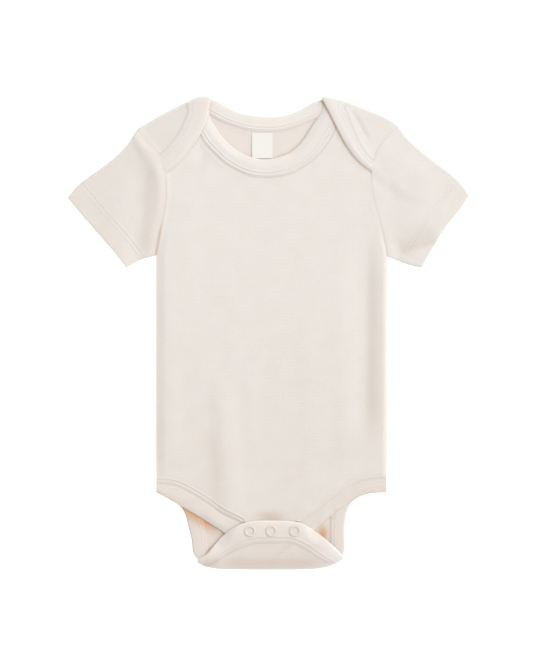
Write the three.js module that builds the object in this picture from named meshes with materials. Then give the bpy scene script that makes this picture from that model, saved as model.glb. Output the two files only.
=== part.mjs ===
// A baby's short-sleeved bodysuit with envelope shoulders, laid flat on its back.
// Millimetres. X runs across the chest, Y from the crotch to the neck and Z up from the surface.
// Every panel is a thin wall round a middle surface, which is worked out from the seams round it.

import * as THREE from 'three';

// Cloth
const WALL = 1.0;             // knitted panel
const BAND = 1.8;             // folded rib binding
const SEAM = 0.2;             // each side of a seam stops this far short of it
const LAYER_GAP = 0.3;        // clearance between cloth layers
const FLOOR_LEVEL = WALL / 2;         // middle of a panel that lies on the surface
const FLOOR_BAND_LEVEL = BAND / 2;    // middle of a binding that lies on the surface

// Grid of the panels
const SHOULDER_STEPS = 5;
const NECK_STEPS = 14;
const ARM_STEPS = 16;         // from the shoulder tip, 0, to the underarm, 16
const LEG_STEPS = 8;
const FRONT_SIDE_STEPS = 9;
const BACK_SIDE_STEPS = 3;
const FLAP_STEPS = 4;
const CHEST_REACH = 0.35;     // share of the chest's width that follows the armhole's curve
const LAP_SEAM_END = { left: 4, right: 5 };    // armhole step where a lap's binding seam ends
const LAP_EDGE_END = { left: 6, right: 6 };    // armhole step where a lap's bound edge ends
const FOLD_ANGLES = [-90, -45, 0, 45, 90];

// Heights
const FRONT_RISE = 1.4;       // height that the front gains from its side seams to its middle
const RISE_WIDTH = 18;        // width of the rounded side
const SHOULDER_FOLD = { tipX: 120, neckX: 74, tipRadius: 1.3, neckRadius: 2.1 };
const CROTCH_FOLD = { radius: 1.8, bandRadius: 1.7 };
const FLAP = { lowY: -213, depth: 31, rise: 1.5 };
const SLEEVE = { steps: 7, hemLevel: 3.4 };

const table = (names, ...rows) =>
  rows.map((row) => Object.fromEntries(names.split(' ').map((name, k) => [name, row[k]])));

// Outline and seams, as seen from above. Left and right are as seen.
const LEFT = {
  shoulder: table('x y', [-119.5, 188.8], [-108.5, 195.3], [-97.5, 201.6], [-86.5, 207.3],
    [-75.5, 212.9], [-68, 216.4], [-60.5, 218.4], [-53, 218]),
  shoulderToBand: 0.66,
  arm: table('x y', [-119.5, 188], [-111.3, 176], [-103, 168.2], [-98.2, 159], [-94.8, 148],
    [-93.8, 136], [-94, 123], [-96, 109], [-99.3, 95], [-102, 80], [-103.4, 72.6]),
  sleeveTop: table('x y', [-119.5, 188.8], [-125, 179.8], [-134.3, 168.6], [-146.3, 157.6],
    [-161.5, 146.8], [-175.7, 135.5], [-185, 124.4]),
  underarm: table('x y', [-103.4, 71.6], [-109, 70], [-119.6, 66.3], [-130.6, 60]),
  hem: table('x y', [-185, 124.4], [-171, 107.8], [-156.3, 91], [-142.5, 75], [-130.6, 60]),
  lapSeam: table('x y', [-74.5, 203.6], [-77.3, 196], [-81, 187.5], [-85.8, 179.6], [-92, 171.8]),
  lapEdge: table('x y', [-54.8, 207], [-56.3, 198], [-59.8, 188.5], [-65.5, 178], [-72, 169.3],
    [-79.5, 159.3], [-88, 151]),
  frontSide: table('x y z', [-103.4, 72.6, 1.8], [-103.5, 20, 1.8], [-103.5, -60, 1.8],
    [-103.5, -110, 1.8], [-103.2, -138.7, 2.6]),
  frontLegSeam: table('x y z', [-103.2, -138.7, 2.6], [-86, -140.6, 2.8], [-62.6, -152.5, 3],
    [-44.2, -165, 2.9], [-26, -174.4, 2.4]),
  frontLegEdge: table('x y', [-103.2, -146.1], [-90.5, -153.4], [-80, -159.8], [-62.6, -170.2],
    [-42.3, -183.2]),
  backLegSeam: table('x y', [-103.2, -133.2], [-90, -138], [-77, -145.3], [-66.2, -155.2],
    [-60.7, -167.2], [-57.2, -181], [-55.2, -197]),
  backLegEdge: table('x y', [-103.2, -146.6], [-92, -152.8], [-81, -160], [-76.6, -167.2],
    [-73.6, -179.2], [-70.8, -190.2], [-69, -203]),
};

const RIGHT = {
  shoulder: table('x y', [119.7, 190.7], [112, 196.4], [101.2, 201.8], [90.2, 206.4],
    [79, 210.9], [70, 214.8], [62.5, 216.9], [55, 218], [49, 217.6]),
  shoulderToBand: 0.66,
  arm: table('x y', [119.7, 190.4], [109.5, 180.4], [101.2, 170], [97.2, 161], [95, 150.5],
    [94.8, 141], [96, 128], [99.6, 112.5], [104, 96.5], [107.6, 81.2], [109.4, 71.5]),
  sleeveTop: table('x y', [119.7, 190.7], [127.9, 179.7], [139.8, 168.7], [153.6, 157.6],
    [168.4, 146.5], [179.4, 135.4], [185, 126.8]),
  underarm: table('x y', [109.4, 70.5], [117.8, 67], [128.8, 62.8], [140.8, 60]),
  hem: table('x y', [185, 126.8], [175.7, 112.5], [164, 98], [152.7, 80.3], [140.8, 60]),
  lapSeam: table('x y', [70.3, 207.5], [73.6, 198], [78.2, 187], [83.2, 176], [90, 164.8]),
  lapEdge: table('x y', [52, 210], [57, 200], [63.5, 187], [70.8, 173.4], [79, 161.6],
    [87, 153.4]),
  frontSide: table('x y z', [109.4, 71.5, 1.8], [109, 20, 1.8], [109, -60, 1.8],
    [109, -110, 1.8], [108.8, -134.2, 2.6]),
  frontLegSeam: table('x y z', [108.8, -134.2, 2.6], [93.8, -135.2, 2.8], [80, -138.7, 2.9],
    [57, -153.2, 3], [42, -165, 2.8], [31, -173.4, 2.4]),
  frontLegEdge: table('x y', [108.8, -146.2], [89.2, -148.6], [78.2, -153], [61.6, -165.2],
    [42.3, -182.2]),
  backLegSeam: table('x y', [108.8, -133], [89.2, -135.2], [75.4, -140.5], [64.6, -149.7],
    [59.2, -160.8], [57.2, -173], [57, -192]),
  backLegEdge: table('x y', [108.8, -146.6], [89.2, -149], [79, -154.2], [73.6, -161.6],
    [71, -172], [70, -184], [70.3, -198]),
};

// The back neckline seam and its bound edge run from neck point to neck point.
const BACK_NECK_SEAM = table('x y', [-65, 207], [-55.2, 201.7], [-39.6, 193.6], [-16.6, 186.7],
  [-3, 185.7], [11, 186.2], [29.4, 191.6], [49.7, 200.8], [60, 206]);
const BACK_NECK_EDGE = table('x y', [-45.1, 212.6], [-36.8, 207.6], [-25.8, 202.8],
  [-14.7, 200.6], [-3.7, 199.5], [7.4, 199.5], [18.4, 201.4], [29.4, 205.5], [40.5, 212.2]);
const FRONT_NECK_SEAM = table('x y z', [-70.6, 197, 2.7], [-66.8, 189, 2.9],
  [-58.5, 174, 3.1], [-48.8, 163.8, 3.2], [-39.6, 155.6, 3.2], [-18.4, 144.8, 3.3],
  [-4, 142.8, 3.3], [11, 144.1, 3.3], [24.8, 148, 3.2], [43.2, 161, 3.2], [55.2, 175.6, 3.1],
  [64, 192, 2.9], [67.6, 201, 2.7]);
const FRONT_NECK_EDGE = table('x y z', [-54.9, 205.4, 3], [-54, 199, 3], [-48.8, 188.8, 3],
  [-39.6, 177, 3.1], [-30.4, 169, 3.3], [-18.4, 162.4, 3.4], [-5.5, 159.6, 3.4],
  [6.4, 160.9, 3.4], [16.4, 164.3, 3.3], [25.6, 170.6, 3.2], [32.6, 178.6, 3.1],
  [39.2, 188.9, 3], [46.4, 200, 3], [49.4, 206, 3]);

// The crotch: the back runs on past the fold and turns up over the front as a snapped flap.
const CROTCH_OUTLINE = table('x y', [-66.2, -210.8], [-60.6, -214.2], [-50.6, -217],
  [-26, -218.1], [2, -218.3], [31, -218], [50, -216.6], [61, -213.2], [70.2, -207.6]);
const CROTCH_BAND = { left: 0.1, right: 0.9 };     // share of that outline where the seams cross
const FLAP_SEAM = table('x y', [-42.3, -206.8], [-26, -198.4], [-14.7, -194.3], [2.8, -193.6],
  [21, -194.2], [34, -200], [47, -208.2]);
const FLAP_EDGE = table('x y', [-57, -203.8], [-48.8, -194.2], [-39.6, -184.9],
  [-27, -176.6], [-14.7, -173.3], [2.8, -172.8], [20.2, -173.3], [31.5, -175.8],
  [42.3, -182.4], [56, -193]);
const FRONT_CROTCH_EDGE = table('x y', [-42.3, -183.2], [-30, -191.2], [-18, -194.6],
  [3, -195], [22, -194.6], [32, -190], [42.3, -182.2]);

// Level of the sleeve's top layer along the armhole, from the shoulder tip to the underarm.
const SLEEVE_HEAD = table('along level', [0, 3.1], [0.25, 3.9], [0.4, 4], [0.5, 3.2],
  [0.75, 2.9], [1, 2.6]);
// Level of the front panel along the armhole.
const FRONT_ARM = table('along level', [0, 1.8], [0.25, 2.2], [0.4, 2.4], [0.6, 2.7], [1, 1.8]);

// Soft folds of the front: a trough or ridge from one point to the other, in the cloth's middle.
const FRONT_FOLDS = table('x0 y0 x1 y1 width rise',
  [95, 140, 96, -68, 8, -0.9],
  [80, 14, 82, -90, 11, 0.5],
  [-54, -96, -38, -162, 9, -0.7],
  [-18, -163, 18, -163, 8, -0.5],
  [-70, 120, -84, 20, 14, 0.4]);
const SLEEVE_FOLDS = table('x0 y0 x1 y1 width rise',
  [-121, 176, -104, 146, 5, 0.6],
  [-128, 168, -112, 120, 6, -0.5],
  [150, 98, 124, 84, 9, -0.7],
  [146, 74, 124, 70, 4, 0.4]);

// Small parts
const LABEL = { left: -15.2, right: 3.7, low: 160.6, high: 184, middle: 1.75, half: 0.45 };
const SNAP = {
  x: [-17, 2.7, 24.4],
  y: -182.2,
  ringOuter: 5.2,
  ringInner: 3.3,
  ringHeight: 0.9,
  discRadius: 4.6,
  discHeight: 0.9,
  sides: 18,
};
const FLAP_BAND_TOP_LEVEL = 5.8;       // middle of the flap's binding at the snaps
const FRONT_CROTCH_LEVEL = 2.3;        // middle of the front binding below them

const clamp01 = (value) => Math.min(1, Math.max(0, value));
const smooth = (value) => {
  const t = clamp01(value);
  return t * t * (3 - 2 * t);
};
const point = (row) => new THREE.Vector3(row.x, row.y, row.z ?? 0);
const mix = (a, b, t) => new THREE.Vector3().lerpVectors(a, b, t);
const range = (count) => Array.from({ length: count }, (_, k) => k);

// Evenly spaced points on the smooth line through some points, between two shares of its length.
function along(points, steps, from = 0, to = 1) {
  const curve = new THREE.CatmullRomCurve3(points, false, 'centripetal');
  curve.arcLengthDivisions = 400;
  return range(steps + 1).map((k) => curve.getPointAt(clamp01(from + ((to - from) * k) / steps)));
}

// Level at a share of the way along a table of levels.
function levelAt(rows, share) {
  const next = Math.max(1, rows.findIndex((row) => row.along >= share - 1e-9));
  const [a, b] = [rows[next - 1], rows[next]];
  return a.level + (b.level - a.level) * smooth((share - a.along) / (b.along - a.along));
}

// The same line moved sideways, to the left of its direction, as seen from above.
function shifted(points, distance) {
  return points.map((p, k) => {
    const ahead = points[Math.min(k + 1, points.length - 1)];
    const behind = points[Math.max(k - 1, 0)];
    const side = new THREE.Vector3(behind.y - ahead.y, ahead.x - behind.x, 0).normalize();
    return p.clone().addScaledVector(side, distance);
  });
}

const atLevel = (points, level) =>
  points.map((p) => new THREE.Vector3(p.x, p.y, typeof level === 'function' ? level(p) : level));

// Height added by the soft folds at a point: a bell across each fold, fading at both its ends.
function foldRise(folds, p) {
  let rise = 0;
  for (const fold of folds) {
    const [dx, dy] = [fold.x1 - fold.x0, fold.y1 - fold.y0];
    const length = Math.hypot(dx, dy);
    const share = ((p.x - fold.x0) * dx + (p.y - fold.y0) * dy) / length ** 2;
    const off = ((p.x - fold.x0) * dy - (p.y - fold.y0) * dx) / length;
    const fade = smooth(share * 4 + 0.5) * smooth((1 - share) * 4 + 0.5);
    rise += fold.rise * fade * Math.exp(-((off / fold.width) ** 2));
  }
  return rise;
}

// Rows of points that fill the space between four lines whose corners meet. How far a side line
// is from straight fades out over the given share of the width.
function patch(low, high, left, right, reach = 1) {
  const columns = low.length - 1;
  const rows = left.length - 1;
  const spread = high.map((p) => (p.x - high[0].x) / (high[columns].x - high[0].x));
  return range(rows + 1).map((j) => range(columns + 1).map((i) => {
    const [u, v] = [spread[i], j / rows];
    const offLeft = left[j].clone().sub(mix(low[0], high[0], v));
    const offRight = right[j].clone().sub(mix(low[columns], high[columns], v));
    return mix(low[i], high[i], v)
      .addScaledVector(offLeft, clamp01(1 - u / reach))
      .addScaledVector(offRight, clamp01(1 - (1 - u) / reach));
  }));
}

// Rows of points round a fold. The outline is the fold's outer edge as seen from above, and
// the cloth turns through half a circle from the low level to two radii above it.
function foldRows(outline, inwards, radius, half, lowLevel) {
  return FOLD_ANGLES.map((angle) => {
    const turn = THREE.MathUtils.degToRad(angle);
    return outline.map((p, k) => {
      const r = typeof radius === 'function' ? radius(p) : radius;
      const reach = half + r * (1 - Math.cos(turn));
      const place = p.clone().addScaledVector(inwards[k], reach);
      place.z = lowLevel + r + r * Math.sin(turn);
      return place;
    });
  });
}

// Unit directions square to a line, pointing to the inside of the garment.
function inwardNormals(points, inside) {
  return points.map((p, k) => {
    const ahead = points[Math.min(k + 1, points.length - 1)];
    const behind = points[Math.max(k - 1, 0)];
    const side = new THREE.Vector3(behind.y - ahead.y, ahead.x - behind.x, 0).normalize();
    return side.dot(inside.clone().sub(p)) < 0 ? side.negate() : side;
  });
}

// One closed solid: the merged patches, given half a thickness to each side.
function wall(patches) {
  const points = [];
  const halves = [];
  const index = new Map();
  const triangles = [];
  const vertex = (p, half) => {
    const key = [p.x, p.y, p.z].map((value) => Math.round(value * 1000)).join();
    if (!index.has(key)) {
      index.set(key, points.length);
      points.push(p);
      halves.push(half);
    }
    return index.get(key);
  };
  for (const { rows, half } of patches) {
    const ids = rows.map((row) => row.map((p, i) => vertex(p, Array.isArray(half) ? half[i] : half)));
    for (let j = 0; j + 1 < rows.length; j += 1) {
      for (let i = 0; i + 1 < rows[j].length; i += 1) {
        const [a, b, c, d] = [ids[j][i], ids[j][i + 1], ids[j + 1][i + 1], ids[j + 1][i]];
        const flat = points[a].distanceTo(points[c]) <= points[b].distanceTo(points[d]);
        triangles.push(...(flat ? [[a, b, c], [a, c, d]] : [[a, b, d], [b, c, d]]));
      }
    }
  }
  const faces = triangles.filter(([a, b, c]) => a !== b && b !== c && c !== a);

  const normals = points.map(() => new THREE.Vector3());
  const edges = new Map();
  for (const [a, b, c] of faces) {
    const ab = points[b].clone().sub(points[a]);
    const normal = ab.cross(points[c].clone().sub(points[a]));
    for (const [from, to] of [[a, b], [b, c], [c, a]]) {
      normals[from].add(normal);
      edges.set(`${from} ${to}`, [from, to]);
    }
  }
  normals.forEach((normal) => normal.normalize());

  const count = points.length;
  const positions = [];
  for (const side of [1, -1]) {
    points.forEach((p, k) => {
      positions.push(...p.clone().addScaledVector(normals[k], side * halves[k]).toArray());
    });
  }
  const indices = [];
  for (const [a, b, c] of faces) indices.push(a, b, c, c + count, b + count, a + count);
  for (const [from, to] of edges.values()) {
    if (edges.has(`${to} ${from}`)) continue;
    indices.push(to, from, from + count, to, from + count, to + count);
  }
  const geometry = new THREE.BufferGeometry();
  geometry.setAttribute('position', new THREE.Float32BufferAttribute(positions, 3));
  geometry.setIndex(indices);
  return geometry;
}

// A binding's cross stations: from its seam to its bound edge, with both edges thinned.
const BAND_SHARES = [0, 0.14, 0.84, 1];
const BAND_HALVES = [0.7, 0.9, 0.9, 0.45];
const stations = (seam, edge) => seam.map((p, k) => BAND_SHARES.map((t) => mix(p, edge[k], t)));

const CHEST_CENTRE = new THREE.Vector3(2, 120, 0);
const HIP_CENTRE = new THREE.Vector3(2, -150, 0);

const shoulderRadius = (p) => {
  const share = (SHOULDER_FOLD.tipX - Math.abs(p.x)) / (SHOULDER_FOLD.tipX - SHOULDER_FOLD.neckX);
  const grow = SHOULDER_FOLD.neckRadius - SHOULDER_FOLD.tipRadius;
  return SHOULDER_FOLD.tipRadius + grow * clamp01(share);
};
const lapLevel = (p) => FLOOR_LEVEL + 2 * shoulderRadius(p);
const lapBandLevel = (p) => FLOOR_BAND_LEVEL + 2 * shoulderRadius(p);
const flapShare = (p) => smooth((p.y - FLAP.lowY) / FLAP.depth);
const flapLevel = (p) => FLOOR_LEVEL + 2 * CROTCH_FOLD.radius + (FLAP.rise - 0.2) * flapShare(p);
const flapBandLevel = (p) =>
  FLOOR_BAND_LEVEL + 2 * CROTCH_FOLD.bandRadius + FLAP.rise * flapShare(p);

// Lines that two pieces share on one side of the garment. toBody is the sign that moves the
// armhole, from tip to underarm, towards the body.
function sideLines(side, name) {
  const toBody = name === 'left' ? 1 : -1;
  const shoulder = side.shoulder.map(point);
  const clear = 0.006;
  const panelFold = along(shoulder, SHOULDER_STEPS, clear, side.shoulderToBand - clear);
  const bandFold = along(shoulder, BAND_SHARES.length - 1, side.shoulderToBand + clear, 1);
  const arm = along(side.arm.map(point), ARM_STEPS);
  return {
    name,
    toBody,
    arm,
    panelFold,
    panelInwards: inwardNormals(panelFold, CHEST_CENTRE),
    bandFold,
    bandInwards: inwardNormals(bandFold, CHEST_CENTRE),
    bodyArm: shifted(arm, toBody * SEAM),
    sleeveArm: shifted(arm, -toBody * SEAM),
    lapSeamEnd: arm[LAP_SEAM_END[name]],
    lapEdgeEnd: arm[LAP_EDGE_END[name]],
  };
}

const left = sideLines(LEFT, 'left');
const right = sideLines(RIGHT, 'right');

const shoulderFold = (lines) =>
  foldRows(lines.panelFold, lines.panelInwards, shoulderRadius, WALL / 2, FLOOR_LEVEL);
const neckFold = (lines) =>
  foldRows(lines.bandFold, lines.bandInwards, SHOULDER_FOLD.neckRadius, BAND / 2, FLOOR_BAND_LEVEL);

// Seam between lap and binding, from the shoulder fold to the armhole.
function lapSeamLine(side, lines) {
  const start = shoulderFold(lines).at(-1).at(-1);
  const points = [start, ...side.lapSeam.map(point), lines.lapSeamEnd];
  return along(atLevel(points, 0), LAP_SEAM_END[lines.name]);
}

// Lap: the back's shoulder, turned over the fold and laid on the front.
function lap(side, lines) {
  const steps = LAP_SEAM_END[lines.name];
  const fold = shoulderFold(lines).at(-1);
  const armSide = lines.bodyArm.slice(0, steps + 1);
  const seamSide = shifted(lapSeamLine(side, lines), -lines.toBody * SEAM);
  armSide[0] = fold[0];
  seamSide[0] = fold.at(-1);
  seamSide[steps] = armSide[steps];
  const rows = range(steps + 1).map((j) => fold.map((p, i) => {
    const u = i / SHOULDER_STEPS;
    const slide = mix(fold[0], fold.at(-1), u).sub(p).multiplyScalar(-(1 - j / steps));
    return mix(armSide[j], seamSide[j], u).add(slide);
  }));
  return rows.map((row, j) => (j === 0 ? fold : atLevel(row, lapLevel)));
}

const crotchOutline = CROTCH_OUTLINE.map(point);
const crotchPanelFold = along(crotchOutline, 2 * SHOULDER_STEPS + NECK_STEPS,
  CROTCH_BAND.left + 0.002, CROTCH_BAND.right - 0.002);
const crotchFold = foldRows(crotchPanelFold, inwardNormals(crotchPanelFold, HIP_CENTRE),
  CROTCH_FOLD.radius, WALL / 2, FLOOR_LEVEL);

// Leg seam of the back, from the side to the crotch fold.
function backLegSeamLine(side, corner) {
  return along([...side.backLegSeam.map(point), atLevel([corner], 0)[0]], LEG_STEPS);
}
const backLegSeams = {
  left: backLegSeamLine(LEFT, crotchFold[0][0]),
  right: backLegSeamLine(RIGHT, crotchFold[0].at(-1)),
};
const backNeckSeam = along([atLevel([shoulderFold(left)[0].at(-1)], 0)[0],
  ...BACK_NECK_SEAM.map(point), atLevel([shoulderFold(right)[0].at(-1)], 0)[0]], NECK_STEPS);
const flapSeam = along([atLevel([crotchFold[0][0]], 0)[0], ...FLAP_SEAM.map(point),
  atLevel([crotchFold[0].at(-1)], 0)[0]], 2 * SHOULDER_STEPS + NECK_STEPS);

// Back panel, with both laps and the crotch flap, in one piece of cloth.
function backPanel() {
  const foldLeft = shoulderFold(left);
  const foldRight = shoulderFold(right).map((row) => [...row].reverse());
  const neck = atLevel(shifted(backNeckSeam, -SEAM), FLOOR_LEVEL);
  const top = [...foldLeft[0], ...neck.slice(1, -1), ...foldRight[0]];

  const armSide = (lines, corner) => {
    const line = atLevel(lines.bodyArm, FLOOR_LEVEL);
    line[0] = corner;
    return line.reverse();
  };
  const chestLeft = armSide(left, top[0]);
  const chestRight = armSide(right, top.at(-1));
  const spread = top.map((p) => (p.x - top[0].x) / (top.at(-1).x - top[0].x));
  const level = (a, b) => spread.map((t) => mix(a, b, t));
  const chestLow = level(chestLeft[0], chestRight[0]);

  const legLeft = atLevel(shifted(backLegSeams.left, SEAM), FLOOR_LEVEL);
  const legRight = atLevel(shifted(backLegSeams.right, -SEAM), FLOOR_LEVEL);
  const hipRow = level(legLeft[0], legRight[0]);
  const side = (from, to) => range(BACK_SIDE_STEPS + 1).map((k) => mix(from, to, k / BACK_SIDE_STEPS));
  legLeft[LEG_STEPS] = crotchFold[0][0];
  legRight[LEG_STEPS] = crotchFold[0].at(-1);

  const flapTop = atLevel(shifted(flapSeam, -SEAM), flapLevel);
  const fold = crotchFold.at(-1);
  flapTop[0] = fold[0];
  flapTop[flapTop.length - 1] = fold.at(-1);
  const flap = range(FLAP_STEPS + 1).map((j) => {
    const row = fold.map((p, i) => mix(flapTop[i], p, j / FLAP_STEPS));
    return j === FLAP_STEPS ? fold : atLevel(row, flapLevel);
  });

  const sideLeft = side(legLeft[0], chestLeft[0]);
  const sideRight = side(legRight[0], chestRight[0]);
  const half = WALL / 2;
  return wall([
    { rows: flap, half },
    { rows: [...crotchFold].reverse(), half },
    { rows: patch(crotchFold[0], hipRow, [...legLeft].reverse(), [...legRight].reverse()), half },
    { rows: patch(hipRow, chestLow, sideLeft, sideRight), half },
    { rows: patch(chestLow, top, chestLeft, chestRight, CHEST_REACH), half },
    { rows: foldLeft, half },
    { rows: foldRight, half },
    { rows: lap(LEFT, left), half },
    { rows: lap(RIGHT, right).map((row) => [...row].reverse()), half },
  ]);
}

// Top edge of the front's shoulder, which stops just inside the fold.
function frontShoulder(lines) {
  const stop = 0.7;
  return lines.panelFold.map((p, k) => {
    const radius = shoulderRadius(p);
    const place = p.clone().addScaledVector(lines.panelInwards[k], WALL / 2 + radius + stop);
    place.z = FLOOR_LEVEL + radius;
    return place;
  });
}

const frontNeckSeam = along([frontShoulder(left).at(-1), ...FRONT_NECK_SEAM.map(point),
  frontShoulder(right).at(-1)], NECK_STEPS);
const frontLegSeams = {
  left: along(LEFT.frontLegSeam.map(point), LEG_STEPS),
  right: along(RIGHT.frontLegSeam.map(point), LEG_STEPS),
};

// Front panel, from the shoulders to the crotch.
function frontPanel() {
  const shoulderLeft = frontShoulder(left);
  const shoulderRight = frontShoulder(right).reverse();
  const neck = shifted(frontNeckSeam, -SEAM);
  const top = [...shoulderLeft, ...neck.slice(1, -1), ...shoulderRight];
  const armSide = (lines, corner) => {
    const line = lines.bodyArm.map((p, k) =>
      new THREE.Vector3(p.x, p.y, levelAt(FRONT_ARM, k / ARM_STEPS)));
    line[0] = corner;
    return line.reverse();
  };
  const chestLeft = armSide(left, top[0]);
  const chestRight = armSide(right, top.at(-1));
  const spread = top.map((p) => (p.x - top[0].x) / (top.at(-1).x - top[0].x));
  const width = chestRight[0].x - chestLeft[0].x;
  const waist = spread.map((t) => {
    const p = mix(chestLeft[0], chestRight[0], t);
    p.z += FRONT_RISE * smooth((Math.min(t, 1 - t) * width) / RISE_WIDTH);
    return p;
  });

  const lowerSide = (side, legSeam, corner) => {
    const seam = shifted(legSeam, side === LEFT ? SEAM : -SEAM).reverse();
    const edge = along(side.frontSide.map(point), FRONT_SIDE_STEPS).reverse();
    edge[FRONT_SIDE_STEPS] = corner;
    return [...seam, ...edge.slice(1)];
  };
  const lowLeft = lowerSide(LEFT, frontLegSeams.left, chestLeft[0]);
  const lowRight = lowerSide(RIGHT, frontLegSeams.right, chestRight[0]);
  const crotch = spread.map((t) => mix(lowLeft[0], lowRight[0], t));

  const folded = (rows) => rows.map((row) => row.map((p) => {
    const inner = smooth(Math.min(p.x - row[0].x, row.at(-1).x - p.x) / 12);
    return new THREE.Vector3(p.x, p.y, p.z + inner * foldRise(FRONT_FOLDS, p));
  }));
  const half = WALL / 2;
  return wall([
    { rows: folded(patch(crotch, waist, lowLeft, lowRight)), half },
    { rows: folded(patch(waist, top, chestLeft, chestRight, CHEST_REACH)), half },
  ]);
}

// Sleeve: a flattened tube from the armhole to the hem, folded at its top edge and underarm.
function sleeve(side, lines) {
  const top = along(side.sleeveTop.map(point), SLEEVE.steps);
  const under = along(side.underarm.map(point), SLEEVE.steps);
  const hem = along(side.hem.map(point), ARM_STEPS);
  const armhole = lines.sleeveArm.map((p) => p.clone());
  const start = side.sleeveTop.map(point);
  armhole[0] = mix(start[0], start[1], 0.04);
  armhole[ARM_STEPS] = mix(point(side.underarm[0]), point(side.underarm[1]), 0.08);
  top[0] = armhole[0];
  under[0] = armhole[ARM_STEPS];
  const rows = range(SLEEVE.steps + 1).map((j) => range(ARM_STEPS + 1).map((i) => {
    const [u, v] = [i / ARM_STEPS, j / SLEEVE.steps];
    const between = mix(armhole[i], hem[i], v).add(mix(top[j], under[j], u));
    return between.sub(mix(mix(armhole[0], armhole[ARM_STEPS], u), mix(hem[0], hem[ARM_STEPS], u), v));
  }));
  const rings = rows.map((row, j) => {
    const blend = smooth(j / SLEEVE.steps);
    const level = (i) => {
      const head = levelAt(SLEEVE_HEAD, i / ARM_STEPS);
      return head + (SLEEVE.hemLevel - head) * blend + foldRise(SLEEVE_FOLDS, row[i]);
    };
    const turn = (end, next, i) => {
      const inward = [row[next].clone().sub(row[end]).normalize()];
      const radius = (level(i) - FLOOR_LEVEL) / 2;
      return foldRows([row[end]], inward, radius, WALL / 2, FLOOR_LEVEL).map((r) => r[0]);
    };
    const inner = range(ARM_STEPS - 1).map((k) => k + 1);
    const upper = inner.map((i) => new THREE.Vector3(row[i].x, row[i].y, level(i)));
    const lower = inner.map((i) => new THREE.Vector3(row[i].x, row[i].y, FLOOR_LEVEL)).reverse();
    const shoulderTurn = turn(0, 1, 1);
    const underarmTurn = turn(ARM_STEPS, ARM_STEPS - 1, ARM_STEPS - 1).reverse();
    return [...shoulderTurn, ...upper, ...underarmTurn, ...lower, shoulderTurn[0]];
  });
  return wall([{ rows: rings, half: WALL / 2 }]);
}

// Binding of the back neckline: along one lap, over the fold, across the back and out again.
function backNeckBand() {
  const lapStations = (side, lines) => {
    const steps = LAP_SEAM_END[lines.name] * 2;
    const fold = neckFold(lines).at(-1);
    const seamPoints = [fold[0], ...side.lapSeam.map(point), lines.lapSeamEnd];
    const edgePoints = [fold.at(-1), ...side.lapEdge.map(point), lines.lapEdgeEnd];
    const inside = lines.toBody * SEAM;
    const seam = shifted(along(atLevel(seamPoints, 0), steps), inside);
    const edge = along(atLevel(edgePoints, 0), steps);
    for (const line of [seam, edge]) line[steps].x += 2 * inside;
    return stations(seam, edge).map((row, k) => (k === 0 ? fold : atLevel(row, lapBandLevel)));
  };
  const foldLeft = neckFold(left);
  const foldRight = neckFold(right);
  const seam = shifted(backNeckSeam, SEAM);
  const edge = along([atLevel([foldLeft[0].at(-1)], 0)[0], ...BACK_NECK_EDGE.map(point),
    atLevel([foldRight[0].at(-1)], 0)[0]], NECK_STEPS);
  const across = stations(seam, edge).map((row) => atLevel(row, FLOOR_BAND_LEVEL));
  const rows = [
    ...lapStations(LEFT, left).reverse(),
    ...[...foldLeft].reverse().slice(1),
    ...across.slice(1, -1),
    ...foldRight,
    ...lapStations(RIGHT, right).slice(1),
  ];
  return wall([{ rows, half: BAND_HALVES }]);
}

// Binding of the front neckline, whose ends lie under the laps.
function frontNeckBand() {
  const level = 3;
  const stop = 0.8;
  const edgeEnd = (lines) => {
    const reach = BAND / 2 + SHOULDER_FOLD.neckRadius + stop;
    const place = lines.bandFold.at(-1).clone().addScaledVector(lines.bandInwards.at(-1), reach);
    place.z = level;
    return place;
  };
  const edgePoints = [edgeEnd(left), ...FRONT_NECK_EDGE.map(point), edgeEnd(right)];
  const seam = shifted(frontNeckSeam, SEAM);
  seam.forEach((p) => { p.z = Math.max(p.z, level); });
  return wall([{ rows: stations(seam, along(edgePoints, NECK_STEPS)), half: BAND_HALVES }]);
}

// Binding of the front's legs and crotch end, in one strip.
function frontLegBand() {
  const level = (p) => {
    const overBack = smooth((Math.abs(p.x) - 38) / 16);
    return FRONT_CROTCH_LEVEL + (3.05 - FRONT_CROTCH_LEVEL) * overBack;
  };
  const steps = 4;
  const leftSeam = shifted(frontLegSeams.left, -SEAM);
  const rightSeam = shifted(frontLegSeams.right, SEAM).reverse();
  const crotchSeam = along([leftSeam.at(-1), rightSeam[0]], steps);
  const leftEdge = along(LEFT.frontLegEdge.map(point), LEG_STEPS);
  const rightEdge = along(RIGHT.frontLegEdge.map(point), LEG_STEPS).reverse();
  const crotchEdge = along(FRONT_CROTCH_EDGE.map(point), steps + 6);
  const corner = (p) => [p, p, p];
  const seam = [...leftSeam, ...corner(leftSeam.at(-1)), ...crotchSeam.slice(1, -1),
    ...corner(rightSeam[0]), ...rightSeam];
  const edge = [...leftEdge, ...crotchEdge.slice(1, -1), ...rightEdge];
  return wall([{ rows: stations(seam, edge).map((row) => atLevel(row, level)), half: BAND_HALVES }]);
}

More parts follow.
